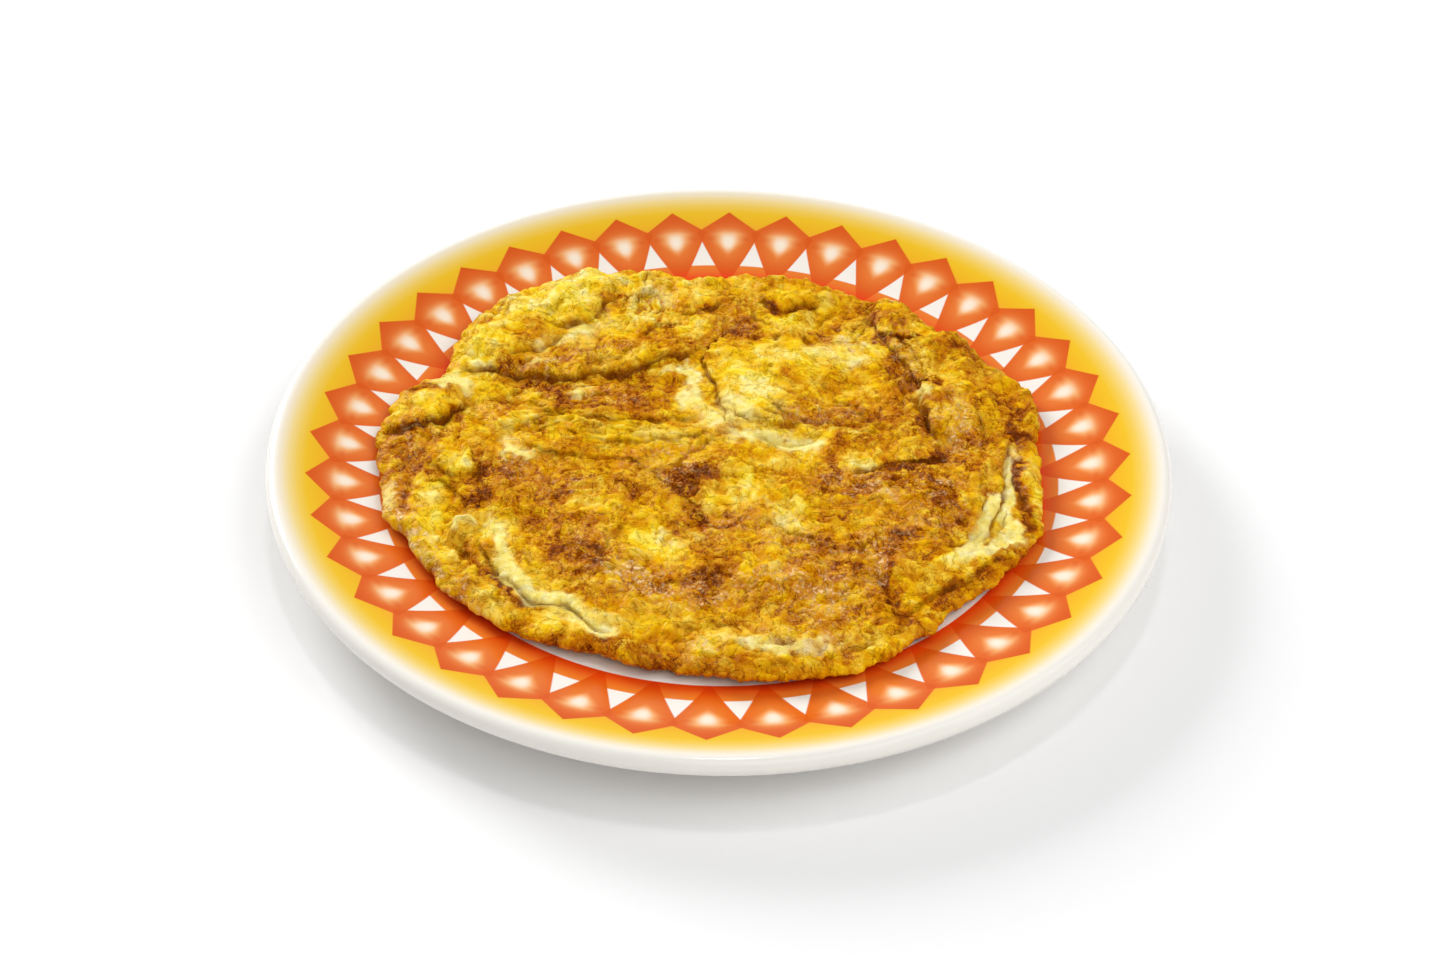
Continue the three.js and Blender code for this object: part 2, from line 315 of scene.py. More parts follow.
white_glaze = srgb(240, 235, 227)
kite_orange = srgb(221, 93, 18)
kite_red = srgb(214, 82, 6)
# Deeper red at the kite's root: its own red, with painted shade of the omelette's edge in it
kite_deep_with_shade = srgb(226, 57, 10)
kite_light = srgb(229, 129, 56)
panel_light = srgb(228, 123, 42)
# Deeper red at the ring's inner edge: its own red, with painted shade of the omelette's edge in it
panel_deep_with_shade = srgb(229, 64, 10)
glow_peach = srgb(246, 184, 116)
glow_white = srgb(246, 231, 212)

# How the yellow band fades out into the white lip
band_fade = [
    (0.94, srgb(240, 166, 40)),
    (0.97, srgb(237, 180, 24)),
    (1.00, srgb(237, 190, 34)),
    (1.02, srgb(238, 200, 86)),
    (1.04, srgb(239, 214, 142)),
    (1.06, srgb(240, 228, 204)),
    (1.075, srgb(242, 238, 230)),
]


# %% Pattern nodes
def kite_frame(tree, radius, angle_off):
    """Across and up a kite's own frame, from the distance and the angle off its axis in radians."""
    across = tree.math("MULTIPLY", radius, tree.math("SINE", angle_off))
    along = tree.math("MULTIPLY", radius, tree.math("COSINE", angle_off))
    return across, along


def inside_kite(tree, across, along, softness=0.0022):
    """1 inside the kite's four edges and 0 outside."""
    outer = tree.math("SUBTRACT", tree.math("SUBTRACT", kite_tip, along),
                      tree.math("MULTIPLY", across, outer_edge_slope))
    inner = tree.math("SUBTRACT", tree.math("SUBTRACT", along, kite_root),
                      tree.math("MULTIPLY", across, inner_edge_slope))
    return tree.math("MULTIPLY", tree.between(outer, -softness, softness),
                     tree.between(inner, -2 * softness, 2 * softness))


def bell(tree, value, middle, width):
    """A smooth hump, 1 at the middle."""
    off = tree.math("DIVIDE", tree.math("SUBTRACT", value, middle), width)
    return tree.math("EXPONENT", tree.math("MULTIPLY", tree.math("MULTIPLY", off, off), -1.0))


def glow_share(tree, across, along, reach, taper, half_width):
    """How strong a kite's glow is: reach up and down its axis, and narrower towards the plate's middle."""
    above = tree.math("SUBTRACT", along, glow_middle)
    far_up = tree.math("DIVIDE", tree.math("ABSOLUTE", above), reach)
    half = tree.math("MINIMUM", tree.math("MULTIPLY_ADD", above, taper, half_width), half_width)
    far_out = tree.math("DIVIDE", across, tree.math("MAXIMUM", half, 0.004))
    both_ways = tree.math("ADD", tree.math("POWER", far_up, 3.0), tree.math("POWER", far_out, 3.0))
    return tree.math("EXPONENT", tree.math("MULTIPLY", both_ways, -1.0))


def rim_pattern(tree):
    """The whole decoration, from the middle of the well to the lip."""
    split = tree.nodes.new("ShaderNodeSeparateXYZ")
    tree.feed(split.inputs[0], tree.place())
    x, y = split.outputs[0], split.outputs[1]
    distance = tree.math("SQRT", tree.math("ADD", tree.math("MULTIPLY", x, x), tree.math("MULTIPLY", y, y)))
    radius = tree.math("DIVIDE", distance, tips_radius * MM)

    half_pitch = math.pi / kite_count
    first_axis = math.radians(kite_turn) - kite_count * half_pitch
    turned = tree.math("SUBTRACT", tree.math("ARCTAN2", y, x), first_axis)
    off_axis = tree.math("PINGPONG", turned, half_pitch)
    off_next = tree.math("SUBTRACT", 2 * half_pitch, off_axis)
    across, along = kite_frame(tree, radius, off_axis)
    next_across, next_along = kite_frame(tree, radius, off_next)
    kite = inside_kite(tree, across, along)
    both = tree.math("MULTIPLY", kite, inside_kite(tree, next_across, next_along))

    # Yellow band that fades into the white lip; the ramp runs from 0.9 to 1.1 tip radii
    spread = [((place - 0.9) / 0.2, shade) for place, shade in band_fade]
    colour = tree.ramp(tree.math("MULTIPLY_ADD", radius, 5.0, -4.5), spread)

    # Inside the kites: a ring that is lighter beside the triangles and deeper red by the well, where
    # painted shade of the omelette's edge lies in it, then the triangles, then the well
    panel = tree.mix(tree.between(radius, ring_inside, triangle_base), panel_deep_with_shade, panel_light)
    in_ring = tree.math("LESS_THAN", radius, kite_notch)
    colour = tree.mix(in_ring, colour, panel)
    in_triangle = tree.between(radius, triangle_base - 0.002, triangle_base + 0.002)
    triangle = tree.math("MULTIPLY", in_triangle, tree.between(radius, kite_notch, kite_notch - 0.001))
    colour = tree.mix(triangle, colour, white_glaze)

    # The kite: redder at its tips, lighter in its middle, and a round white glow with two rays sideways
    height = tree.math("ABSOLUTE", tree.math("SUBTRACT", along, glow_middle))
    fill = tree.mix(tree.between(height, 0.085, 0.02), kite_red, kite_orange)
    up_axis = bell(tree, along, glow_middle - 0.012, 0.06)
    middle = tree.math("MULTIPLY", up_axis, bell(tree, across, 0.0, 0.05))
    fill = tree.mix(tree.math("MULTIPLY", middle, 0.9), fill, kite_light)
    # Deeper red towards the well: the kite's own red, with painted shade of the omelette's edge in it
    fill = tree.mix(tree.between(radius, 0.83, 0.77), fill, kite_deep_with_shade)
    rays = tree.math("MULTIPLY", bell(tree, along, 0.931, 0.007), tree.between(across, 0.06, 0.012))
    fill = tree.mix(tree.math("MULTIPLY", rays, 0.3), fill, band_fade[4][1])
    below_rays = tree.math("MULTIPLY", bell(tree, along, 0.916, 0.006), bell(tree, across, 0.046, 0.014))
    fill = tree.mix(tree.math("MULTIPLY", below_rays, 0.4), fill, kite_red)
    fill = tree.mix(glow_share(tree, across, along, 0.0335, 0.65, 0.0335), fill, glow_peach)
    fill = tree.mix(glow_share(tree, across, along, 0.0235, 0.4, 0.0195), fill, glow_white)
    colour = tree.mix(kite, colour, fill)
    colour = tree.mix(tree.math("MULTIPLY", both, 0.6), colour, kite_red)

    # The well is plain, and so are the lip and the underside
    well = tree.between(radius, ring_inside + 0.0015, ring_inside - 0.0015)
    colour = tree.mix(well, colour, white_glaze)
    return colour, split.outputs[2], radius


# %% Glaze material
def make_glaze():
    """Clear glaze over the pattern; the foot ring under the plate is left unglazed."""
    tree = Tree("patterned_glaze")
    colour, height, radius = rim_pattern(tree)
    normal = tree.nodes.new("ShaderNodeNewGeometry").outputs["Normal"]
    facing = tree.nodes.new("ShaderNodeSeparateXYZ")
    tree.feed(facing.inputs[0], normal)
    colour = tree.mix(tree.between(facing.outputs[2], 0.1, -0.1), colour, white_glaze)
    bare_clay = tree.between(height, 0.0009, 0.0004)
    colour = tree.mix(bare_clay, colour, srgb(226, 214, 196))
    tree.feed(tree.shader.inputs["Base Color"], colour)
    speckle = tree.noise(tree.place(), 0.7, detail=3)
    dry = tree.math("MULTIPLY", bare_clay, 0.6)
    wavy = tree.math("MULTIPLY_ADD", speckle, 0.04, 0.1)
    tree.feed(tree.shader.inputs["Roughness"], tree.math("ADD", wavy, dry))
    tree.shader.inputs["IOR"].default_value = 1.4
    ripple = tree.noise(tree.place(), 9.0, detail=2)
    tree.feed(tree.shader.inputs["Normal"], tree.bump(ripple, 0.05))
    return tree.material


# %% Make the plate
def make_plate():
    """Rings of points round the axis, joined by quads, with one point in the middle of each face."""
    profile = plate_profile()
    angles = np.linspace(0, 2 * math.pi, plate_steps_round, endpoint=False)
    points = [(0.0, 0.0, well_height)]
    for r, z in profile:
        points += [(r * math.cos(a), r * math.sin(a), float(z)) for a in angles]
    points.append((0.0, 0.0, float(plate_under(0.0))))
    last = len(points) - 1
    faces = []
    for step in range(plate_steps_round):
        following = (step + 1) % plate_steps_round
        faces.append((0, 1 + step, 1 + following))
        for row in range(len(profile) - 1):
            here, below = 1 + row * plate_steps_round, 1 + (row + 1) * plate_steps_round
            faces.append((here + step, below + step, below + following, here + following))
        end = 1 + (len(profile) - 1) * plate_steps_round
        faces.append((end + step, last, end + following))
    return add_mesh("glazed_plate", points, faces, make_glaze())


plate = make_plate()
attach(plate, "root")
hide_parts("plate")
print("plate:", len(plate.data.polygons), "faces, rim at", round(float(plate_top(128.0)), 2), "mm")

# %% [markdown]
# ## The omelette's main form
# The real omelette is one sheet of beaten egg, fried on both sides, with its edges folded in while it
# was soft. It could be sculpted by hand, or modelled as stacked sheets. Here its height is a sum of
# named forms over the plate: a layer of even thickness, lines where one layer ends on another, creases
# and swellings. The CAD solid is made from the same kinds of form, so the two keep the same main shape.

# %% Omelette sizes
layer_thickness = 8.0
outline_radius = 92.0
edge_roll = 5.0
edge_sag = 1.6
edge_sag_reach = 14.0
rest_gap = 0.3

# Bays and bulges of the outline: angle in degrees, width in degrees, how far out
outline_bulges = {
    "right flap": (17, 11, 7),
    "far right lobe": (36, 4, 4),
    "far right corner": (53, 3.5, 4),
    "far right bay": (61, 5, -2),
    "small far notch": (82, 3, -2.5),
    "far notch": (95, 6, -4.5),
    "lobe beside the far notch": (106, 4, 1.5),
    "far left fold": (127, 19, 8),
    "notch beside the fold": (157, 8, -7.5),
    "left side": (175, 33, 10),
    "left corner": (198, 3.5, 2.5),
    "left front": (227, 21, 4.5),
    "near bay": (244, 10, -2),
    "near edge": (284, 15, 2.0),
    "right front": (296, 19, 5),
    "right front notch": (315, 6, -2.5),
    "right front corner": (327, 5, 1.2),
    "right corner": (340, 24, 4.5),
    "right near lobe": (341, 6, 2.0),
}

# Where one layer ends on another, walked with the upper layer on the left hand:
# rise, reach, gap, width of the lip, how far the lip hangs over, and the path
fold_lines = {
    "far left fold": (3.0, 30, 1.2, 2.8, 0.8, [(-84, 36), (-78, 34.5), (-72, 35), (-66, 34), (-58, 33),
        (-50, 31.5), (-45, 31), (-41, 33), (-36, 34), (-30, 34.5), (-26, 36), (-21, 39.5), (-14, 43),
        (-9, 46), (-4, 51)]),
    "ridge on the far left fold": (1.8, 12, 0.9, 1.7, 0.8, [(-55, 57.5), (-51, 56), (-47, 56),
        (-43, 58.5), (-40, 62), (-38, 66), (-36, 70), (-31, 72)]),
    "inner flap": (1.2, 7, 1.2, 1.6, 0.8, [(-67, 40), (-62, 42), (-58, 43), (-55, 46), (-52, 50),
        (-49, 53)]),
    "left curl": (3.2, 9, 2.4, 2.6, 1.4, [(-101, 4), (-95, 7.5), (-90, 9.5), (-85, 11), (-81.5, 13),
        (-79.5, 18), (-77, 23)]),
    "right flap": (1.9, 20, 0.7, 2.4, 0.7, [(45, 75), (47, 68), (49, 61), (51, 55), (54.5, 47),
        (57, 40), (59.5, 33), (61, 26), (62.5, 18), (63.5, 10), (65, 2), (65.5, -5)]),
    "shelf beside the right flap": (1.2, 9, 1.6, 2.4, 1.0, [(38, -14), (43, -10), (49, -7), (56, -6),
        (63, -4.5), (70, -3)]),
    "smooth bump": (1.9, 14, 1.0, 2.0, 0.9, [(15, 56.5), (9, 57.5), (3.5, 56.5), (0, 53), (-3, 47),
        (-4, 39), (-2.5, 32), (-0.5, 25), (1.2, 19.5), (2, 14), (1.8, 9), (2.6, 4.5)]),
    "upper layer's right edge": (0.9, 10, 1.6, 2.4, 1.0, [(74.3, -40.5), (75.7, -37.5), (78.8, -31),
        (80.8, -25), (82, -18), (83.3, -10), (85, -3), (86, 4)]),
    "upper layer's near right edge": (1.1, 10, 0.9, 2.4, 0.8, [(49, -77), (53, -70), (58, -64),
        (63, -59), (69, -56.5), (74, -52), (79, -46), (84, -43)]),
    "upper layer's left edge": (1.5, 12, 1.1, 2.2, 1.1, [(-70, -41), (-66.5, -48), (-62, -55),
        (-57, -61), (-53, -65.5), (-50, -68), (-45, -69), (-41, -69.5), (-36.5, -73), (-31.5, -78),
        (-26, -82)]),
    "first wrinkle": (0.8, 5, 0.8, 1.8, 0.8, [(-57, 17), (-48, 13.5), (-38, 11.5), (-28, 11),
        (-18, 10.5), (-10, 12.5), (-4, 18)]),
    "second wrinkle": (0.8, 5, 0.8, 1.8, 0.8, [(-51, 10), (-44, 6), (-37, 3), (-28, 1.5), (-18, 2),
        (-9, 4.5), (-2, 10)]),
    "third wrinkle": (0.9, 6, 0.6, 1.8, 0.8, [(-62, 1), (-55, -3), (-47, -5), (-38, -5.5), (-30, -5),
        (-24, -8), (-19, -12.5), (-13, -19), (-8, -25), (-3, -33)]),
    "far hole": (1.4, 8, 1.4, 1.7, 0.9, [(13, 76), (14, 71), (17, 69), (21, 70), (27, 72), (33, 73)]),
    "far lobe": (1.3, 9, 1.1, 2.2, 0.9, [(-14, 66), (-9, 67), (-4, 68.5), (1, 73)]),
}

# Creases with both sides alike: depth, width and path
creases = {
    "left arm of the V": (1.8, 1.8, [(38, -52), (42, -51), (45, -54), (47, -59), (49, -65), (50, -73)]),
    "right arm of the V": (1.0, 2.4, [(50, -75), (53, -71), (57, -66), (61, -62)]),
    "ear-shaped curl": (-2.4, 1.5, [(-75.4, -42), (-75.4, -38), (-73.8, -35.6), (-71.2, -35.5),
        (-69.4, -37.8), (-69.2, -40.5)]),
    "stem of the curl": (1.2, 0.8, [(-73.5, -38), (-73, -42), (-72, -46), (-70.5, -52)]),
    "lobe in the left hollow": (-1.2, 2.2, [(-81, -1), (-80.5, -7), (-79, -13)]),
    "second lobe in the left hollow": (-1.2, 1.8, [(-75.5, 0), (-74.5, -6), (-74, -13)]),
    "left valley": (2.2, 4, [(-77, 26), (-74, 16), (-69, 8), (-62, 0)]),
    "middle valley": (0.5, 5, [(0, 10), (8, 6), (16, 4), (25, 4.5), (34, 8)]),
    "end of the right groove": (0.7, 2.8, [(66.5, -55), (69.5, -49.5), (72.5, -43.5), (75.7, -37.5)]),
    "near pale crease": (1.2, 2.4, [(5, -83), (13, -86.5), (21, -87.5), (30, -86)]),
    "pleat beside the bump": (0.8, 1.0, [(9, 14.5), (11, 10.5), (13.5, 7)]),
    "line below the bump": (0.7, 0.9, [(14, 4.5), (19, 2.2), (25, 3), (31, 4.8)]),
}

# Rounded swellings: middle, half length, half width, turn in degrees, height
swellings = {
    "far left fold": ((-60, 63), 30, 13, 41, 2.9),
    "far lobe": ((-6, 76), 9, 7, 90, 1.6),
    "lobe over the hole": ((25, 76), 9, 5, 0, 1.2),
    "smooth bump": ((16, 36), 21, 14, 10, 1.8),
    "right flap": ((78, 18), 26, 13, 100, 1.8),
    "far right flap": ((68, 47), 14, 9, 120, 1),
    "right front": ((59, -25), 16, 13, 20, 2.2),
    "near middle": ((20, -56), 24, 14, 5, 1.6),
    "near left": ((-26, -43), 17, 12, -20, 1.6),
    "left front": ((-56, -24), 16, 11, -35, 1.4),
    "left side": ((-86, -16), 15, 9, 80, 1.2),
    "middle": ((-1, -12), 12, 8, 20, 1.4),
}

# Gentle waves in directions a golden angle apart, each shorter and lower than the last
wave_count = 12
wave_longest = 46.0
wave_shrink = 0.86
wave_height = 0.42
golden_angle = 2.39996


# %% Outline and lines
def outline_at(angle):
    """Distance of the omelette's edge from the plate's middle, for an array of angles in radians."""
    radius = np.full_like(angle, outline_radius)
    for at, wide, out in outline_bulges.values():
        away = (np.degrees(angle) - at + 180) % 360 - 180
        radius += out * np.exp(-(away / wide) ** 2)
    return radius


def smooth_line(path, pieces=40):
    """A curve through given points, as evenly spaced points on it."""
    path = np.array(path, float)
    padded = np.vstack([2 * path[0] - path[1], path, 2 * path[-1] - path[-2]])
    fine = []
    for p0, p1, p2, p3 in zip(padded, padded[1:], padded[2:], padded[3:]):
        for t in np.linspace(0, 1, 12, endpoint=False):
            fine.append(0.5 * (2 * p1 + (p2 - p0) * t + (2 * p0 - 5 * p1 + 4 * p2 - p3) * t ** 2
                               + (3 * p1 - p0 - 3 * p2 + p3) * t ** 3))
    fine = np.array(fine + [path[-1]])
    length = np.concatenate([[0], np.cumsum(np.hypot(*np.diff(fine, axis=0).T))])
    even = np.linspace(0, length[-1], pieces + 1)
    return np.stack([np.interp(even, length, fine[:, 0]), np.interp(even, length, fine[:, 1])], axis=1)


def beside(line, x, y):
    """Distance from a line, above 0 on its left; the share of its length passed; and its left normal."""
    best = np.full(x.shape, np.inf)
    side, along = np.full(x.shape, 1e3), np.zeros(x.shape)
    left_x, left_y = np.zeros(x.shape), np.ones(x.shape)
    for i in range(len(line) - 1):
        step = line[i + 1] - line[i]
        length = math.hypot(*step)
        to_x, to_y = x - line[i][0], y - line[i][1]
        part = np.clip((to_x * step[0] + to_y * step[1]) / length ** 2, 0, 1)
        away = np.hypot(to_x - part * step[0], to_y - part * step[1])
        nearer = away < best
        best = np.where(nearer, away, best)
        sign = np.where(step[0] * to_y - step[1] * to_x >= 0, 1.0, -1.0)
        side = np.where(nearer, sign * away, side)
        along = np.where(nearer, (i + part) / (len(line) - 1), along)
        left_x = np.where(nearer, -step[1] / length, left_x)
        left_y = np.where(nearer, step[0] / length, left_y)
    return side, along, left_x, left_y


def near_path(path, margin, x, y):
    """Which points lie in the box round a path, so that far ones need no work."""
    path = np.array(path)
    low, high = path.min(axis=0) - margin, path.max(axis=0) + margin
    return np.flatnonzero((x > low[0]) & (x < high[0]) & (y > low[1]) & (y < high[1]))


def smooth_step(value, low, high):
    """0 at low, 1 at high, and a soft step from one to the other."""
    share = np.clip((value - low) / (high - low), 0, 1)
    return share * share * (3 - 2 * share)


def strength_at(along):
    """A fold is strong in its middle and fades out towards both ends."""
    return smooth_step(np.minimum(along, 1 - along), 0, 0.16)


angles_round = np.linspace(0, 2 * math.pi, 400)
print("outline from", round(float(outline_at(angles_round).min()), 1), "to",
      round(float(outline_at(angles_round).max()), 1), "mm from the middle")


# %% [markdown]
# ## Random fields
# A crust has lumps of many sizes. Smooth noise on a lattice gives soft ones, its absolute value gives
# puffs with sharp valleys between them, and the distance to scattered points gives round blisters.
# All are worked out with fixed seeds, so that every run gives the same omelette, and so that one
# field can both move the surface and colour it.

# %% Noise
def lattice_noise(x, y, size, seed):
    """Smooth noise from -1 to 1 with lumps about as large as size."""
    table = np.random.default_rng(seed).uniform(0, 2 * math.pi, (97, 97))
    u, v = x / size + 500.0, y / size + 500.0
    iu, iv = np.floor(u).astype(int), np.floor(v).astype(int)
    fu, fv = u - iu, v - iv

    def corner(du, dv):
        turn = table[(iu + du) % 97, (iv + dv) % 97]
        return np.cos(turn) * (fu - du) + np.sin(turn) * (fv - dv)

    su, sv = fu ** 3 * (fu * (6 * fu - 15) + 10), fv ** 3 * (fv * (6 * fv - 15) + 10)
    near = corner(0, 0) * (1 - su) + corner(1, 0) * su
    far = corner(0, 1) * (1 - su) + corner(1, 1) * su
    return 1.5 * (near * (1 - sv) + far * sv)


def rough_noise(x, y, size, seed, octaves=4, keep=0.55):
    """Several sizes of lattice noise added up, each half as large as the last."""
    total, weight, strength = np.zeros(x.shape), 0.0, 1.0
    for octave in range(octaves):
        total += strength * lattice_noise(x, y, size * 0.5 ** octave, seed + octave)
        weight += strength ** 2
        strength *= keep
    return total / math.sqrt(weight)


def puffs(x, y, size, seed):
    """Rounded puffs with sharp valleys between them, from about -0.5 to 0.5."""
    return np.abs(lattice_noise(x, y, size, seed)) ** 0.75 - 0.45


def streaks(x, y, direction, spacing, length, seed):
    """Long ridges with sharp crests in one direction, from about -0.5 to 0.5."""
    turn = math.radians(direction)
    along = (x * math.cos(turn) + y * math.sin(turn)) / length
    across = (y * math.cos(turn) - x * math.sin(turn)) / spacing
    return 0.45 - np.abs(lattice_noise(along, across, 1.0, seed)) ** 0.8


def blisters(x, y, size, seed):
    """Round bumps side by side: 1 on a bump's top, 0 in the gap between bumps."""
    generator = np.random.default_rng(seed)
    jitter_x, jitter_y = generator.uniform(0, 1, (2, 89, 89))
    u, v = x / size + 300.0, y / size + 300.0
    iu, iv = np.floor(u).astype(int), np.floor(v).astype(int)
    nearest, second = np.full(x.shape, 9.0), np.full(x.shape, 9.0)
    for du in (-1, 0, 1):
        for dv in (-1, 0, 1):
            cu, cv = iu + du, iv + dv
            px, py = cu + jitter_x[cu % 89, cv % 89], cv + jitter_y[cu % 89, cv % 89]
            away = np.hypot(u - px, v - py)
            second = np.minimum(second, np.maximum(nearest, away))
            nearest = np.minimum(nearest, away)
    return np.clip(second - nearest, 0, 1)


# %% [markdown]
# ## Fine wrinkles that only the eye needs
# Between the main folds the egg has small edges, curls and creases. They are too fine for the solid, but
# each of them catches the light, so they are made as geometry here, in the same way as the main folds.
# The ones that can be told apart are listed one by one. Bundles of smaller ones are scattered with a seed.

# %% Small folds
# The same values as for the main fold lines
small_folds = {
    "brown step": (1.0, 6, 1.2, 1.8, 0.8, [(-25, 51), (-22, 55), (-19, 60), (-15, 62), (-12, 62)]),
    "end of the far crease": (0.8, 5, 1.0, 1.6, 0.6, [(-14, 50), (-9, 51.5), (-3, 53), (3, 52)]),
    "second lip under the fold": (0.9, 6, 0.7, 1.8, 0.8, [(-72, 24), (-64, 21), (-57, 20), (-50, 16)]),
    "tail of the middle lump": (0.7, 6, 1.1, 1.8, 0.8, [(-22, -14), (-17, -10), (-12, -6), (-7, -1),
        (-1, 4)]),
    "crease over the lump": (0.5, 5, 0.5, 1.6, 0.7, [(-38, -10), (-34, -13), (-30, -17), (-26, -20),
        (-20, -20)]),
    "left hollow": (0.8, 5, 0.8, 1.8, 0.8, [(-86, -4), (-84, -10), (-80, -14), (-75, -15), (-71, -13),
        (-70, -6)]),
    "left brown edge": (0.7, 8, 0.9, 2.0, 0.8, [(-68, 0), (-69.5, -8), (-69, -16), (-67, -24),
        (-65, -31)]),
    "left yellow edge": (0.7, 6, 0.7, 2.0, 0.8, [(-92, -17), (-86, -19), (-80, -21), (-74, -27),
        (-70, -34)]),
    "fan one": (0.6, 4, 0.9, 1.4, 0.6, [(1, 22), (4, 17), (6.5, 13), (11, 9)]),
    "fan two": (0.6, 4, 0.8, 1.4, 0.6, [(3, 15), (7, 12.5), (12, 12), (15, 9)]),
    "fan three": (0.6, 4, 0.8, 1.4, 0.6, [(13, 21), (16, 18), (20, 15), (25, 13)]),
    "middle valley's line": (0.5, 4, 1.0, 1.4, 0.6, [(10, 4), (16, 2.5), (22, 2), (27, 4), (32, 6)]),
    "edge below the bump": (0.7, 6, 0.7, 1.6, 0.7, [(16, 14), (24, 12), (32, 12), (41, 9.5), (50, 7)]),
    "rim lip on the right": (1.1, 4, 1.0, 1.8, 0.9, [(88, -4), (87, -12), (87.5, -19), (89, -26),
        (90.5, -32), (88, -39)]),
    "near end of the right strip": (0.7, 4, 0.8, 1.8, 0.8, [(88, -41), (83, -42.5), (78, -45),
        (75, -48)]),
    "second rim lip": (0.7, 4, 0.8, 1.6, 0.7, [(86, 33), (83, 39), (79, 45), (74, 51), (70, 57)]),
    "near wrinkle": (0.6, 5, 0.7, 1.6, 0.7, [(-14, -74), (-6, -76.5), (2, -75), (10, -77.5)]),
    "front right wrinkle": (0.6, 5, 0.8, 1.6, 0.7, [(12, -32), (17, -35), (20, -38), (26, -41),
        (33, -44)]),
    "dark triangle": (0.8, 5, 1.0, 1.8, 0.8, [(-12, -26), (-7, -30), (-2, -34), (4, -36)]),
    "bright valley edge": (0.7, 5, 0.8, 1.6, 0.7, [(-34, -52), (-31, -46), (-30, -40), (-26, -35)]),
    "left lower edge": (0.8, 6, 0.9, 2.0, 0.9, [(-93, -33), (-85, -45), (-78, -55), (-70, -65)]),
    "cream patch edge": (1.0, 5, 0.8, 1.8, 0.8, [(-76, 22), (-80, 26), (-86, 26), (-91, 23)]),
    "tick in the brown": (0.6, 3, 0.8, 1.4, 0.6, [(59, -26), (62, -20), (65, -22), (69, -28)]),
    "brown edge on the right": (0.7, 6, 0.8, 1.8, 0.8, [(57, -47), (64, -44), (70, -41), (74, -36),
        (76, -28), (76, -18), (78, -9)]),
    "far brown edge": (0.7, 6, 0.8, 1.8, 0.8, [(34, 52), (40, 54), (44, 58), (46, 64)]),
    "far edge of the right crease": (0.8, 5, 0.9, 1.8, 0.8, [(55, 56), (58, 49), (61, 42), (64, 35),
        (66, 31)]),
    "first piece of the right crease": (0.7, 4, 1.4, 1.6, 0.6, [(46, 66), (48, 62.5), (51, 60)]),
    "second piece of the right crease": (0.8, 4, 1.6, 1.6, 0.6, [(50, 57), (53, 54.5), (57, 53.5),
        (61, 52)]),
    "third piece of the right crease": (0.8, 4, 1.6, 1.6, 0.6, [(54.5, 49), (56, 45), (57.5, 41)]),
    "fourth piece of the right crease": (0.7, 4, 1.3, 1.6, 0.6, [(53, 38), (56, 34), (60, 31.5),
        (65, 30.5)]),
    "last piece of the right crease": (1.4, 6, 2.6, 2.0, 0.9, [(57.5, 26), (60.5, 21), (62, 16),
        (62.5, 10), (63, 4)]),
    "line inside the far rim": (0.6, 4, 0.8, 1.4, 0.5, [(82, 33), (80.5, 38), (78.5, 42), (77, 47),
        (76, 51)]),
    "tail of the curl": (0.6, 3, 1.2, 1.4, 0.6, [(-73, -42), (-72.5, -45), (-70.5, -48), (-69, -52)]),
}

# Small rolls and crumbs of egg: middle, half length, half width, turn in degrees, height
small_lumps = {
    "roll on the near edge": ((2, -92), 5, 2.6, -8, 1.4),
    "pale blob on the left edge": ((-95, -25), 3.0, 4.4, 0, 1.4),
    "light crumb in the crease": ((62.3, 24.5), 1.9, 2.8, 10, 2.2),
    "pale bead": ((-60, -4.5), 5.0, 3.0, -10, 1.4),
    "top of the curl": ((-89, 18), 9, 6, 20, 1.4),
    "fold's near end": ((-74, 42), 8, 5, -5, 1.2),
    "bead on the far edge": ((-17, 84), 3, 3.2, 0, 1.2),
    "second bead on the far edge": ((5, 84), 4, 3.4, 0, 1.4),
    "corner lobe": ((53, 72), 5, 3.4, -10, 1.4),
    "lump in the V": ((41, -55), 4.4, 4, 0, 1.3),
    "ridge of the fold": ((-47, 74), 14, 3.2, 45, 1.0),
    "second ridge of the fold": ((-66, 57), 12, 3.4, 44, 1.0),
    "bright spot near the edge": ((-3, -85), 2.6, 3.0, 0, 0.7),
    "glint lump": ((49, -21), 3.0, 4.0, 0, 1.0),
}

# Bundles: middle, half length, half width, direction, spread, how many, line length, rise
wrinkle_bundles = {
    "left middle layers": ((-34, 10), 26, 9, 178, 14, 16, 20, 0.55),
    "under the far fold": ((-45, 24), 24, 6, 172, 25, 9, 13, 0.5),
    "front of the far fold": ((-48, 40), 22, 5, 30, 25, 9, 10, 0.5),
    "top of the far fold": ((-60, 62), 24, 12, 60, 45, 9, 12, 0.5),
    "far edge": ((-28, 74), 10, 9, 75, 30, 10, 10, 0.6),
    "far right": ((28, 62), 22, 10, 100, 50, 14, 9, 0.5),
    "smooth bump": ((24, 34), 16, 10, 135, 25, 6, 12, 0.3),
    "below the bump": ((32, 14), 22, 7, 170, 25, 12, 13, 0.5),
    "right crease": ((57, 40), 6, 24, 105, 20, 12, 12, 0.5),
    "right flap": ((76, 28), 12, 30, 110, 50, 14, 10, 0.4),
    "left side": ((-84, -12), 14, 16, 120, 50, 14, 10, 0.5),
    "left rim": ((-74, -54), 8, 26, 125, 20, 14, 11, 0.5),
    "right strips": ((78, -30), 6, 22, 75, 12, 10, 16, 0.4),
    "left strip": ((-58, -52), 6, 20, 125, 15, 8, 12, 0.35),
    "near rim": ((0, -86), 48, 6, 178, 20, 18, 11, 0.5),
    "front": ((8, -50), 42, 20, 150, 70, 26, 9, 0.4),
    "centre": ((0, -15), 40, 12, 140, 60, 18, 9, 0.45),
}


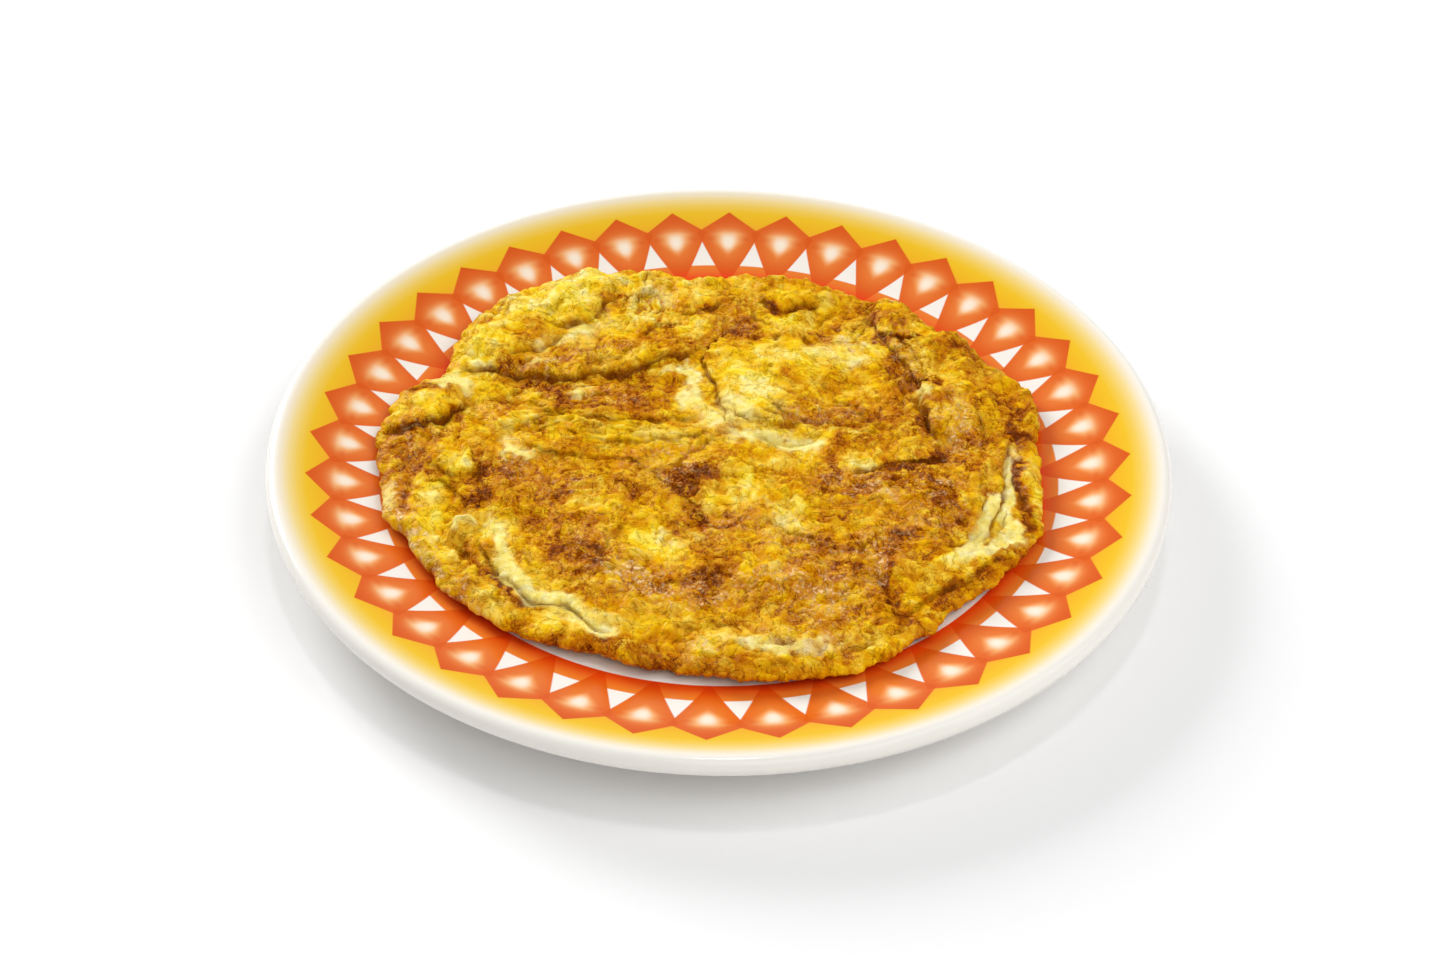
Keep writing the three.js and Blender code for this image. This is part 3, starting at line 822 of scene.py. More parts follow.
def scattered_wrinkles(bundle, seed):
    """Short curved folds, drawn at random inside an oval and roughly in one direction."""
    (at, long, wide, direction, spread, count, length, rise) = bundle
    generator = np.random.default_rng(seed)
    wrinkles = []
    for _ in range(count):
        angle, away = generator.uniform(0, 2 * math.pi), math.sqrt(generator.uniform(0, 1))
        middle = np.array(at) + np.array([long * math.cos(angle), wide * math.sin(angle)]) * away
        heading = math.radians(direction + spread * generator.uniform(-1, 1))
        bend, size = generator.uniform(-0.5, 0.5), length * generator.uniform(0.5, 1.2)
        path = []
        for part in (-0.5, -0.25, 0.0, 0.25, 0.5):
            bent_heading = heading + bend * part
            path.append(middle + size * part * np.array([math.cos(bent_heading), math.sin(bent_heading)]))
        if generator.uniform() < 0.5:
            path = path[::-1]
        height = 1.6 * rise * generator.uniform(0.5, 1.3)
        wrinkles.append((height, 3.0, 0.9 * height, 1.4, 0.5 * height, path))
    return wrinkles


def scattered_rim_lumps(count=64, seed=77):
    """Lumps of egg all along the rolled edge, as in small_lumps."""
    generator = np.random.default_rng(seed)
    lumps = []
    for turn in np.linspace(0, 2 * math.pi, count, endpoint=False) + generator.uniform(-0.04, 0.04, count):
        away = float(outline_at(np.array([turn]))[0]) - generator.uniform(2.5, 8)
        lumps.append(((away * math.cos(turn), away * math.sin(turn)), generator.uniform(2.5, 5.5),
                      generator.uniform(2.0, 3.6), math.degrees(turn) + 90 + generator.uniform(-25, 25),
                      generator.uniform(-0.8, 2.2)))
    return lumps


rim_lumps = scattered_rim_lumps()
wrinkles = [wrinkle for seed, bundle in enumerate(wrinkle_bundles.values())
            for wrinkle in scattered_wrinkles(bundle, 500 + seed)]
print(len(fold_lines), "main folds,", len(small_folds), "small folds and", len(wrinkles), "wrinkles")


# %% Height and overhang
def oval(x, y, at, long, wide, turn):
    """A soft oval hill, 1 in the middle."""
    angle = math.radians(turn)
    to_x, to_y = x - at[0], y - at[1]
    along = (to_x * math.cos(angle) + to_y * math.sin(angle)) / long
    across = (to_y * math.cos(angle) - to_x * math.sin(angle)) / wide
    return np.exp(-(along ** 2 + across ** 2))


def fold_shape(fold, side, strength):
    """Height of one fold at a distance beside its line, and how far its lip hangs over the crevice."""
    rise, reach, gap, width, over, _ = fold
    crevice = 0.65 * np.exp(-(side / 1.1) ** 2) + 0.35 * np.exp(-(side / (2.2 * width)) ** 2)
    part = np.clip(side / width, 0, 1)
    lip = np.sqrt(1 - (1 - part) ** 2)
    above = np.maximum(side, 0)
    slope = 0.5 * lip + 0.5 * (1 - np.exp(-above / (3 * width)))
    height = np.where(side < 0, -gap * crevice, rise * np.exp(-above / reach) * slope - gap * (1 - lip))
    return strength * height, strength * over * np.sin(math.pi * part)


def main_height(x, y):
    """The same sum as in the solid: layer, sag, waves, creases and swellings, without the folds."""
    height = np.full(x.shape, well_height + rest_gap + layer_thickness)
    from_edge = outline_at(np.arctan2(y, x)) - np.hypot(x, y)
    height -= edge_sag * np.exp(-from_edge / edge_sag_reach)
    for i in range(wave_count):
        size = wave_shrink ** i
        turn = i * golden_angle
        along = x * math.cos(turn) + y * math.sin(turn)
        height += wave_height * size * np.sin(2 * math.pi * along / (wave_longest * size) + i * i)
    for at, long, wide, turn, rise in (*swellings.values(), *small_lumps.values(), *rim_lumps):
        height += rise * oval(x, y, at, long, wide, turn)
    return height


# %% [markdown]
# ## The rings of the omelette's mesh
# A disc could be a grid of squares, but its edge would be ragged, and a fan of long triangles is too
# fine in the middle. Rings that gain six corners each have triangles of one size everywhere. The top
# rings run out to the rounded edge, a few more turn under it, and wide ones close the underside.

# %% Rings
top_rings = 160
edge_tilts = np.radians([76, 62, 48, 34, 20, 6, -8, -22, -36, -50, -64, -78])
under_parts = (0.93, 0.80, 0.60, 0.36)
under_counts = (320, 160, 80, 40)


def ring_angles(count):
    """Evenly spaced angles, the first along +X."""
    return np.linspace(0, 2 * math.pi, count, endpoint=False)


def join_rings(faces, inner, outer):
    """Triangles between two rings that need not have the same number of corners."""
    i = o = 0
    inner_steps = len(inner) if len(inner) > 1 else 0
    while i < inner_steps or o < len(outer):
        a, b = inner[i % len(inner)], outer[o % len(outer)]
        behind = i >= inner_steps or (o + 0.5) / len(outer) <= (i + 0.5) / inner_steps
        if o < len(outer) and behind:
            faces.append((a, b, outer[(o + 1) % len(outer)]))
            o += 1
        else:
            faces.append((a, b, inner[(i + 1) % len(inner)]))
            i += 1


def edge_wobble(angle):
    """Small scallops of the fried edge, added to the outline."""
    x, y = outline_radius * np.cos(angle), outline_radius * np.sin(angle)
    return (1.2 * lattice_noise(x, y, size=9.0, seed=71) + 1.0 * lattice_noise(x, y, size=4.2, seed=72)
            + 0.5 * lattice_noise(x, y, size=2.1, seed=73))


def lay_rings():
    """Plan of all corners: x, y, how high they lie (0 under, 1 on top), and the rings of their numbers."""
    xs, ys, lifts, rings = [np.zeros(1)], [np.zeros(1)], [np.ones(1)], [[0]]

    def add(count, radius_at, lift):
        angle = ring_angles(count)
        radius = radius_at(angle)
        first = sum(len(part) for part in xs)
        xs.append(radius * np.cos(angle))
        ys.append(radius * np.sin(angle))
        lifts.append(np.full(count, lift))
        rings.append(list(range(first, first + count)))

    def edge(angle):
        return outline_at(angle) + edge_wobble(angle)

    for ring in range(1, top_rings + 1):
        part = ring / top_rings
        add(6 * ring,
            lambda angle: part * (outline_at(angle) - edge_roll + part ** 8 * edge_wobble(angle)), 1.0)
    for tilt in edge_tilts:
        add(6 * top_rings,
            lambda angle: edge(angle) - edge_roll * (1 - math.cos(tilt)), 0.5 + 0.5 * math.sin(tilt))
    for part, count in zip(under_parts, under_counts):
        add(count, lambda angle: part * (outline_at(angle) - edge_roll), 0.0)
    add(1, lambda angle: np.zeros(1), 0.0)
    return np.concatenate(xs), np.concatenate(ys), np.concatenate(lifts), rings


plan_x, plan_y, lift, rings = lay_rings()
faces = []
for number, (inner, outer) in enumerate(zip(rings, rings[1:])):
    if number < top_rings + len(edge_tilts):
        join_rings(faces, inner, outer)
    else:
        turned = []
        join_rings(turned, outer, inner)
        faces += [(a, c, b) for a, b, c in turned]
print("omelette:", len(plan_x), "corners,", len(faces), "triangles")


# %% [markdown]
# ## Where the omelette is brown, yellow and pale
# Egg that touched the hot pan is brown. Egg inside a fold stays yellow, and its thick smooth edges are
# nearly white. A map of the colours could be painted by hand on the mesh, but a list of soft ovals
# for each part of the omelette is easier to read and to change. Noise then breaks up their edges.

# %% Browning
# How brown the egg is where no patch lies, from 0 for yellow to 1 for dark brown, and how strongly the
# patches act
plain_browning = 0.377
browning_gain = 1.15

# For each part of the omelette: x, y, half length, half width, turn in degrees, how much browner
brown_patches = {
    "far left fold": [
        (-62, 62, 26, 11, 45, -0.26), (-42, 80, 20, 7, 20, -0.24), (-78, 44, 8, 8, 0, -0.2),
        (-57, 72, 4, 5, 0, 0.12), (-36, 76, 5, 6, 0, 0.12), (-28, 79, 2.5, 3, 0, 0.12),
        (-31, 71, 3, 6, 0, 0.18), (-25, 70, 1.6, 4, 0, 0.12), (-24, 76, 6, 7, 0, -0.2),
        (-74, 57, 2.5, 2, 0, 0.35), (-66, 53, 8, 4, 10, 0.12), (-56, 53, 5, 4, 0, 0.12),
        (-44, 65, 6, 8, 45, -0.16), (-62, 47, 5, 4, 0, 0.14), (-70, 40, 6, 3, 0, 0.12),
        (-37, 67, 1.5, 2.5, 0, 0.35),
    ],
    "front of the far left fold": [
        (-46, 41, 20, 4.5, 18, 0.12), (-65, 37.5, 3, 2, 0, 0.4), (-66, 44, 5, 3, 0, -0.25),
        (-74, 36, 8, 4, 0, -0.24), (-50, 36, 6, 3, 0, 0.1), (-35, 46, 6, 2, 15, 0.16),
        (-41, 41, 6, 3, 30, 0.1), (-33, 37, 6, 4, 0, -0.02), (-25, 35, 3, 2.4, 30, 0.3),
        (-29, 32, 2.4, 1.6, 0, 0.3), (-22, 53, 3, 3, 45, 0.34), (-14, 56, 4, 4, 0, 0.1),
        (-18, 60, 2, 2, 30, 0.2), (-30, 54, 6, 5, 30, -0.2), (-12, 44, 6, 3, 30, 0.1),
        (-11, 50, 8, 1.4, 5, 0.22), (-6, 66.5, 4, 1.4, 25, 0.36), (-18, 61, 2, 1, 20, 0.4),
        (-9, 60, 9, 4, 0, -0.14),
    ],
    "band under the fold": [
        (-56, 29, 9, 3, -6, 0.36), (-67, 27, 5, 4, 0, -0.04), (-50, 26, 5, 3, -20, 0.24),
        (-48, 22, 2.4, 6, 15, 0.4), (-66, 22, 4, 3, 0, 0.06), (-24, 26, 7, 5, 0, 0.26),
        (-34, 24, 8, 4, 0, 0.14), (-22, 20, 8, 3, 0, 0.14), (-41.5, 22.5, 2.2, 3.2, 0, -0.24),
        (-14, 27, 2.5, 6, 0, 0.1), (-68, 30, 3, 3, 0, 0.04), (-65, 16, 6, 4, -50, 0.16),
    ],
    "left middle layers": [
        (-37, 18, 14, 3, 0, 0.2), (-24, 14, 9, 3, 0, 0.22), (-50, 14, 5, 3, 0, -0.06),
        (-40, 6, 14, 2.5, 0, 0.1), (-16, 10, 6, 3, 0, 0.1), (-56, 5, 4, 3, 0, 0.18),
        (-46, -1, 10, 3, 0, 0.06), (-22, 3, 12, 3, 0, -0.14), (-30, 9, 12, 1.5, 0, -0.1),
        (-14, 18, 3, 3, 0, -0.14), (-58, 13, 3, 6, 0, -0.06),
    ],
    "left curl": [
        (-89, 17, 8, 5, 15, -0.2), (-88, 24, 6, 2, 8, 0.2), (-97, 13, 3, 6, 0, -0.1),
        (-94, 6, 7, 2, 15, 0.42), (-80, 13, 2, 5, 0, 0.4), (-82, 22, 2, 2, 0, 0.15),
        (-76, 14, 3, 6, 0, -0.08),
    ],
    "left side": [
        (-94, 0, 5, 2, 20, 0.14), (-87, 2, 6, 3, -10, 0.1), (-78, 3, 4, 3, 0, 0.14),
        (-90, -8, 6, 6, 0, 0.22), (-77, -9, 5, 4, 0, -0.26), (-83, -15, 6, 2.5, -20, 0.26),
        (-71, -12, 2.5, 8, 0, 0.34), (-68, -24, 3, 7, -10, 0.36), (-61, -14, 6, 7, -30, 0.16),
        (-52, -14, 7, 6, 0, 0.08), (-64, -6, 2, 4, 30, 0.2), (-96, -14, 3, 6, 0, 0.08),
        (-84, -25, 5, 4, 0, -0.3), (-82, -33, 4, 5, 0, -0.24), (-90, -26, 2.5, 5, 0, 0.2),
        (-76, -24, 4, 5, 0, 0.08), (-87, -43, 5, 8, 35, -0.2), (-93, -35, 2, 4, 20, 0.1),
        (-74, -38, 3, 3, 0, -0.2), (-68, -36, 3, 5, 0, -0.12), (-78, -46, 3, 8, 35, -0.16),
        (-72, -46, 1.5, 4, 0, 0.25), (-64, -26, 5, 5, 0, 0.1),
    ],
    "left front": [
        (-45.5, -20.5, 2.4, 2.4, 30, 0.5), (-41, -17, 2.4, 2.4, 0, 0.5), (-44, -12, 6, 4, 0, 0.04),
        (-36, -31, 5, 3.5, 0, -0.34), (-47, -26, 5, 6, 0, 0.16), (-54, -26, 6, 6, 0, 0.14),
        (-53, -37, 5, 5, 0, 0.2), (-46, -36, 6, 4, 0, 0.06), (-36, -34, 6, 5, 0, 0.2),
        (-46, -46, 6, 5, 0, 0.18), (-38, -46, 5, 6, 0, 0.18), (-33, -52, 3, 4, 0, 0.42),
        (-45, -54, 6, 4, 0, 0.12), (-28, -20, 7, 4, 0, 0.16), (-36, -14, 6, 3, 0, 0.12),
        (-22, -24, 5, 4, 0, 0.14), (-17, -44, 8, 6, -20, -0.36), (-20, -36, 6, 3, 0, 0.06),
        (-27, -45, 3, 4, 0, 0.06),
    ],
    "middle": [
        (-10, -14, 6.5, 5, 0, 0.36), (-4, -13, 5, 4, 0, 0.24), (-2, -4, 6, 4, 20, -0.04),
        (-8, -21, 3.5, 3, 0, 0.22), (-14, -22, 6, 3, 0, 0.06), (-6, -32, 5, 2.5, -40, 0.26),
        (-3, -25, 4, 3, 0, -0.2), (-20, -14, 4, 3, 0, 0.1), (4, -5, 6, 4, 0, 0.14),
        (-28, -8, 7, 3, 0, 0.06), (-9, -37, 4, 5, 0, 0.16), (5, -34, 4, 4, 0, 0.26),
        (-3, -46, 5, 6, 0, 0.2), (8, -18, 4, 5, 0, -0.32), (22, -27, 4, 3, -30, -0.2),
        (20, -33, 5, 3.5, -40, -0.36), (9, -24, 4, 3, 0, -0.18), (22, -14, 8, 4, 0, 0.12),
        (30, -20, 6, 5, 0, 0.14), (27, -25, 8, 4, 0, -0.12), (17, -5, 9, 4, 0, -0.12),
        (33, -30, 6, 4, 0, 0.16), (36, 3, 2.6, 3, 0, 0.3), (34, -10, 2.6, 7, 0, 0.26),
        (42, -8, 4, 3, 0, -0.36), (30, -36, 5, 3, 0, -0.04), (12, -38, 4, 3, 0, 0.1),
    ],
    "right front": [
        (44, -14, 5, 4, 0, 0.22), (53, -9, 8, 2, 5, 0.4), (63, -5.5, 5, 1.6, 5, 0.4),
        (60, -14, 8, 5, 0, 0.2), (66, -25, 3.4, 4, 0, 0.42), (60, -20, 5, 4, 0, 0.22),
        # The lighter spot at (49, -21) is a painted glint on the oil
        (53, -16, 5, 4, 0, 0.2), (77, -13, 5, 11, 0, 0.16), (49, -21, 2.5, 3, 0, -0.1),
        (42, -20, 5, 3, 0, 0.2), (54, -38, 6, 4, 0, 0.24), (66, -36, 6, 5, 20, 0.26),
        (46, -35, 5, 4, 0, 0.1), (52, -29, 5, 3, 0, 0.06), (41, -34, 6, 2.4, 30, -0.16),
        (40, -30, 5, 3, 0, 0.04), (47, -46, 7, 4, 0, 0.22), (58, -48, 6, 3, 10, 0.2),
        (64, -50, 5, 3, 30, -0.22), (35, -42, 6, 4, 0, 0.2), (27, -44, 6, 4, 0, 0.22),
        (15, -51, 7, 3, 10, -0.06), (12, -46, 5, 3, 0, 0.1), (35, -54, 5, 4, 0, 0.24),
        (-1, -57, 5, 4, 0, 0.26), (16, -54, 6, 2.5, 0, -0.1), (24, -52, 4, 4, 0, 0.16),
    ],
    "near right": [
        (40, -55, 4, 4, 0, 0.2), (47, -58, 1.5, 6, -15, 0.4), (56, -64, 6, 4, 45, -0.04),
        (63, -60, 6, 1.4, 45, 0.3), (30, -60, 6, 4, 0, 0.14), (13, -64, 5, 4, 0, 0.16),
        (24, -68, 5, 5, 0, 0.06), (7, -70, 6, 4, 0, 0.06), (20, -70, 3, 2, 0, 0.16),
        (40, -70, 4, 5, 0, 0.14), (44, -66, 4, 5, 0, 0.08), (50, -68, 1.5, 7, 0, 0.35),
        (53, -76, 5, 3, 30, 0.2), (62, -66, 6, 2.5, 50, 0.24), (44, -83, 6, 4, 30, -0.24),
        (55, -76, 6, 3, 40, -0.1), (36, -86, 4, 3, 0, 0.24), (22, -76, 8, 3, 0, 0.1),
        (32, -78, 3, 3, 0, 0.16), (50, -84, 5, 2, 38, 0.2),
    ],
    "near left": [
        (-26, -56, 6, 4, 0, 0.04), (-16, -58, 6, 4, 0, 0.06), (-17, -62, 5, 3, 0, 0.36),
        (-4, -60, 5, 4, 0, 0.22), (-34, -58, 4, 4, 0, 0.1), (-4, -66, 5, 4, 0, 0.2),
        (-26, -66, 7, 3, 0, 0.04), (-34, -66, 4, 3, 0, 0.1), (-20, -76, 12, 4, 0, -0.12),
        (-6, -78, 8, 4, 0, 0.04), (-3, -85, 2.5, 3, 0, -0.35), (-20, -86, 8, 3, -8, 0.12),
        (-30, -82, 5, 2, -35, 0.24), (-34, -85, 6, 3, -20, 0.18), (-44, -82, 6, 2.5, -28, 0.26),
        (-45, -76, 6, 3, -20, -0.24), (-55, -75, 5, 2.5, -30, 0.16), (-64, -70, 8, 3.5, -45, -0.18),
        (-53, -68.5, 3, 1.4, -35, 0.3), (-66, -62, 4, 3, 45, 0.08), (-72, -64, 5, 3, -50, 0.12),
        (-60, -60.5, 2.0, 9, 40, 0.36), (-40, -60, 4, 6, 0, 0.16), (-52, -82, 8, 2, -32, 0.14),
        (-30, -91, 12, 2, -12, 0.2), (14, -94, 16, 2, 4, 0.06), (12, -90, 8, 2, 0, 0.04),
        (-12, -90, 8, 3, 0, 0.14), (-40, -89, 5, 2, -20, 0.2), (-75, -55, 3, 4, 30, -0.12),
    ],
    "bump": [
        (7, 34, 8, 12, 0, -0.24), (6, 46, 7, 2.4, -20, 0.1), (-3, 40, 1.6, 8, 0, 0.1),
        (22, 34, 1.8, 9, 10, 0.1), (22, 44, 12, 6, -10, -0.22), (40, 44, 5, 5, 0, -0.2),
        (30, 30, 6, 6, 0, 0.06), (31, 38, 8, 3, 0, -0.12), (12, 24, 7, 6, 0, -0.1),
        (18, 26, 7, 5, 0, -0.12), (44, 22, 7, 5, 0, 0.08), (50, 42, 3, 6, 0, 0.0),
        (38, 32, 6, 5, 0, 0.02), (24, 18, 6, 3, 0, 0.16), (34, 14, 9, 4, -5, 0.18),
        (48, 14, 7, 4, 0, 0.06), (44, 6, 8, 3, 0, 0.18), (55, 9, 5, 6, 0, 0.16),
        (12, 18, 7, 4, 0, -0.24), (30, 22, 5, 2, 30, -0.04), (6, 54, 8, 1.8, 0, 0.12),
        (56, 22, 4, 8, 0, 0.1), (28, 38, 4, 3, 0, 0.06),
    ],
    "far middle": [
        (4, 58, 7, 7, 0, 0.28), (3, 66, 4, 3, 0, 0.16), (10, 63, 5, 3, 0, 0.08), (9, 52, 5, 3, 0, 0.1),
        (32, 56, 2.4, 5, 0, 0.3), (24, 57, 6, 4, 0, 0.02), (38, 62, 5, 4, 0, 0.16),
        (40, 54, 5, 5, 0, -0.36), (15.5, 69, 1.6, 3.4, 10, 0.6), (24, 69.5, 5, 1.0, 10, 0.34),
        (22, 77, 8, 4, 0, -0.14), (34, 75, 6, 3, -20, -0.12), (-7, 77, 6, 8, 0, -0.22),
        (4, 84, 5, 4, 0, -0.2), (3, 74, 5, 4, 0, 0.14), (22, 84, 8, 2, 0, 0.04),
        (20, 64, 14, 3.5, 0, -0.25), (18, 50, 6, 3, 0, -0.04),
    ],
    "right crease": [
        (48.5, 63, 1.6, 2, 0, 0.4), (51, 54, 2.4, 3, -20, 0.42), (58, 53, 4, 2, 0, 0.42),
        (56, 46, 2.2, 6, -20, 0.36), (58, 35, 4, 6, -25, 0.28), (54.5, 37, 2, 2, 0, 0.3),
        (65, 30.5, 3, 1.6, 0, 0.46), (60, 29, 4, 4, 0, 0.2), (62, 13, 2.2, 6, 0, 0.5),
        (46, 71, 3, 5, 0, 0.2), (54, 62, 4, 4, 0, 0.14), (52, 71, 4, 3, 0, -0.2),
        (65, -3, 2.4, 3, 0, 0.34), (72, -4, 5, 2, 0, 0.16), (53, 36, 2, 6, 0, 0.06),
    ],
    "right flap": [
        (69, 10, 5, 10, 0, 0.02), (82, 22, 6, 4, 0, 0.16), (86, 12, 5, 6, 0, 0.24),
        (90, 7, 3, 3, 0, 0.5), (86, 24, 5, 4, 0, 0.12), (76, 4, 6, 5, 0, 0.22),
        (74, 27, 2.5, 2, 0, -0.2), (62, 57, 5, 4, -45, -0.1), (72, 52, 4, 5, 0, 0.1),
        (72, 42, 5, 6, 0, 0.12), (66, 44, 4, 5, 0, 0.02), (70, 33, 4, 4, 0, -0.12),
        (79, 36, 3, 6, 30, 0.14), (84, 34, 2.5, 5, 30, -0.14), (90, 14, 3, 9, 0, 0.14),
        (80, 12, 3, 3, 0, 0.0), (67, 22, 4, 4, 0, 0.1), (86, 3, 4, 3, 0, 0.1),
        (92, -4, 2, 6, 0, -0.12), (78, 46, 3, 4, 30, 0.1), (87.5, -8, 2.0, 4, 0, 0.5),
        (86.5, -16, 1.6, 6, 0, 0.3), (92, -18, 2, 6, 0, -0.1), (90, -27, 1.6, 6, -8, 0.3),
        (93, -28, 2, 5, 0, -0.12), (80, -46, 4, 2, 45, 0.24), (74, -55, 5, 2, 50, 0.2),
        (88, -40, 2.5, 4, 0, 0.14),
    ],
    "beside the left strip": [
        (-60.5, -61, 8.5, 1.8, -51, 0.42), (-50, -59, 6, 4, -30, -0.16), (-64, -38, 3, 5, 0, -0.12),
        (-66, -60, 2.6, 6, 45, -0.1),
    ],
    "beside the right strip": [
        (88, -13, 1.6, 8, 0, 0.4), (89.6, -28, 1.5, 7, 12, 0.36), (88, -39, 1.6, 4, -25, 0.2),
        (76, -24, 2, 8, -10, -0.1), (93, -20, 2, 10, 0, -0.2), (91, -38, 2.4, 4, -20, -0.16),
    ],
}

# Pale, smooth egg: x, y, half length, half width, turn in degrees, how pale
pale_patches = {
    "left": [
        (-82, 29, 7, 4.5, 5, 0.95), (-72, 34, 6, 3, 0, -0.9), (-68, 9, 4, 10, 25, 0.22),
        (-62, 1, 3, 4, 0, 0.4), (-59, -5, 5, 3, -10, 0.8), (-94.5, -27, 2.2, 4.5, 10, 0.9),
        (-97, -20, 1.4, 4, 0, 0.5), (-83, -26, 3, 4, 0, 0.4), (-77, -9, 4, 3, 0, 0.35),
        (-60.5, -46, 2.6, 8, 8, 0.4), (-51, -63, 6, 3, -32, 0.35), (-24, -76, 8, 3, 0, 0.25),
        (-64, -35, 2, 4, 0, 0.5), (-42, 23, 2.2, 3.2, 0, 0.5), (-36, -30, 3, 2, 0, 0.35),
        (-66, -50, 2, 4, 20, 0.3),
    ],
    "far": [
        (-45, 52, 10, 5, 20, 0.55), (-57, 45, 3, 3, 0, 0.5), (-38, 60, 4, 7, -30, 0.3),
        (-28, 65, 2.5, 7, 0, 0.3), (-17, 74, 3.0, 7, 5, 0.5), (-24, 62, 3, 5, 0, 0.3),
        (-8.5, 35, 2.6, 7, 15, 0.9), (-12, 22, 3, 4, 0, 0.5), (-16, 36, 5, 1.8, 20, 0.6),
        (-8, 22, 3.5, 8, 10, 0.6), (-57, 37.5, 4, 2, 0, 0.45), (-46, 42, 8, 2.4, 40, 0.25),
        (-43, 24, 2.5, 4, 0, 0.25), (-3, 12, 4, 5, 0, 0.55), (-45, 84, 12, 3, 12, 0.35),
        (-36, 70, 3, 4, 0, 0.2),
    ],
    "middle": [
        (4, 11, 5, 4, 0, 0.4), (14, 4, 11, 3.4, 0, 0.8), (26, 1, 6, 3, 0, 0.8),
        (8, 16, 6, 4, -40, 0.5), (2, 20, 3, 5, 0, 0.5), (10, 30, 6, 8, 0, 0.25),
        (38, 53, 4, 4, 0, 0.4), (41, 42, 5, 5, 0, 0.6), (31, 44, 4, 5, 0, 0.35),
        (28, 46, 8, 3, 0, 0.3), (62, 24, 1.8, 3.2, 0, 0.8), (42, -8, 3, 2.4, 0, 0.4),
        (8, -18, 3, 4, 0, 0.35), (20, -33, 4, 3, -40, 0.5), (14, -26, 4, 2, -30, 0.35),
        # The pale spot at (49, -21) is a painted glint on the oil
        (49, -21, 1.8, 2.2, 0, 0.45), (34, 75, 5, 2, -20, 0.3), (55, 74, 2, 3, 0, 0.4),
        (-22, 3, 10, 1.6, 0, 0.3), (-14, -2, 4, 2, 30, 0.15), (30, 60, 4, 3, 0, 0.2),
    ],
    "right": [
        (84.6, -36, 4.4, 4.2, -20, 1.15), (80, -39, 3, 3, 0, 0.6), (74, 27, 2, 2, 0, 0.4),
        (87, -2, 1.6, 4, 0, 0.4),
    ],
    "near": [
        (12, -85, 7, 2.4, -12, 0.7), (24, -84, 8, 3, 8, 0.65), (3, -82, 3, 2, 0, 0.3),
        (-3, -85, 2, 2.4, 0, 0.5), (26, -74, 5, 4, 0, 0.2), (-35, -57, 3, 3, 0, 0.2),
        (-32, -74, 5, 3, -20, 0.4),
    ],
}

# Strips of pale egg along the folds: how pale, half width at both ends, and the path
pale_strips = {
    "left, upper": (0.85, 1.8, 3.2, [(-62.5, -32), (-62, -40), (-61, -46), (-60, -52), (-58.5, -57),
        (-56, -62)]),
    "left, middle": (1.2, 2.7, 3.2, [(-60.5, -54), (-56, -60.5), (-51, -66), (-46, -67.8), (-41, -69),
        (-37, -73)]),
    "left, near end": (1.2, 3.0, 2.4, [(-44, -68.5), (-40, -70.5), (-36, -75), (-32, -78.5),
        (-26, -83)]),
    "ear-shaped curl": (0.65, 1.6, 1.6, [(-75.4, -42), (-75.4, -38), (-73.8, -35.6), (-71.2, -35.5),
        (-69.4, -37.8), (-69.2, -40.5)]),
    "inside the right groove": (1.1, 1.0, 2.9, [(80.5, -16), (79.4, -23), (77.2, -30), (74.6, -37),
        (72, -43), (69, -48), (66, -52)]),
    "outside the right groove": (1.1, 1.2, 2.2, [(86.5, 0), (84.6, -12), (84, -21), (83, -28),
        (83.2, -36)]),
    "tail of the right skin": (1.0, 2.4, 1.3, [(87, -35), (82, -39.5), (77, -44), (71, -50)]),
}

# Where light grains of dry skin and painted glints of oil stand on the crust: the same, and how many
grain_and_glint_patches = {
    "front": [
        # The first, strongest patch is a painted glint at (49, -21)
        (49.5, -21, 2.0, 3.4, 0, 1.6), (46, -52, 3, 8, -15, 0.8), (63, -21, 4, 2.4, -30, 0.7),
        (-24, -57, 10, 6, -20, 0.9), (-8, -66, 14, 5, 0, 0.6), (16, -58, 12, 5, 0, 0.6),
        (30, -66, 9, 8, 0, 0.8), (22, -82, 12, 4, 0, 0.5), (24, -44, 10, 6, 0, 0.5),
        (44, -44, 8, 5, 0, 0.5), (40, -16, 10, 7, 0, 0.5), (64, -24, 9, 8, 0, 0.5),
        (-36, -42, 6, 6, 0, 0.3), (-12, -42, 6, 4, 0, 0.5), (20, -31, 6, 5, 0, 0.5),
        (-34, -30, 6, 4, 0, 0.3), (-3, -85, 4, 3, 0, 0.9), (-12, -12, 8, 5, 30, 0.5),
        (-44, -20, 8, 4, 0, 0.4), (4, -34, 10, 6, 0, 0.4), (-60, -10, 6, 6, 0, 0.5),
        (56, -36, 8, 5, 0, 0.4),
    ],
    "sides": [
        (-55, 37, 7, 3, 0, 0.8), (-40, 42, 7, 3, 20, 0.5), (-20, 75, 5, 8, 0, 0.7),
        (88, -10, 3, 9, 0, 0.6), (-92, 2, 5, 8, 0, 0.5), (-96, -24, 3, 6, 0, 0.5),
        (40, 51, 7, 5, 0, 0.8), (56, 50, 5, 14, 20, 0.4), (-30, 22, 8, 4, 0, 0.4),
        (-88, -38, 4, 14, 28, 1.0), (-74, -62, 4, 12, 40, 0.8), (70, 10, 5, 12, 0, 0.8),
        (-42, 23, 3, 4, 0, 0.8), (-14, -3, 10, 5, 20, 0.5), (30, 16, 16, 5, 0, 0.4),
        (4, 60, 7, 6, 0, 0.3),
    ],
}

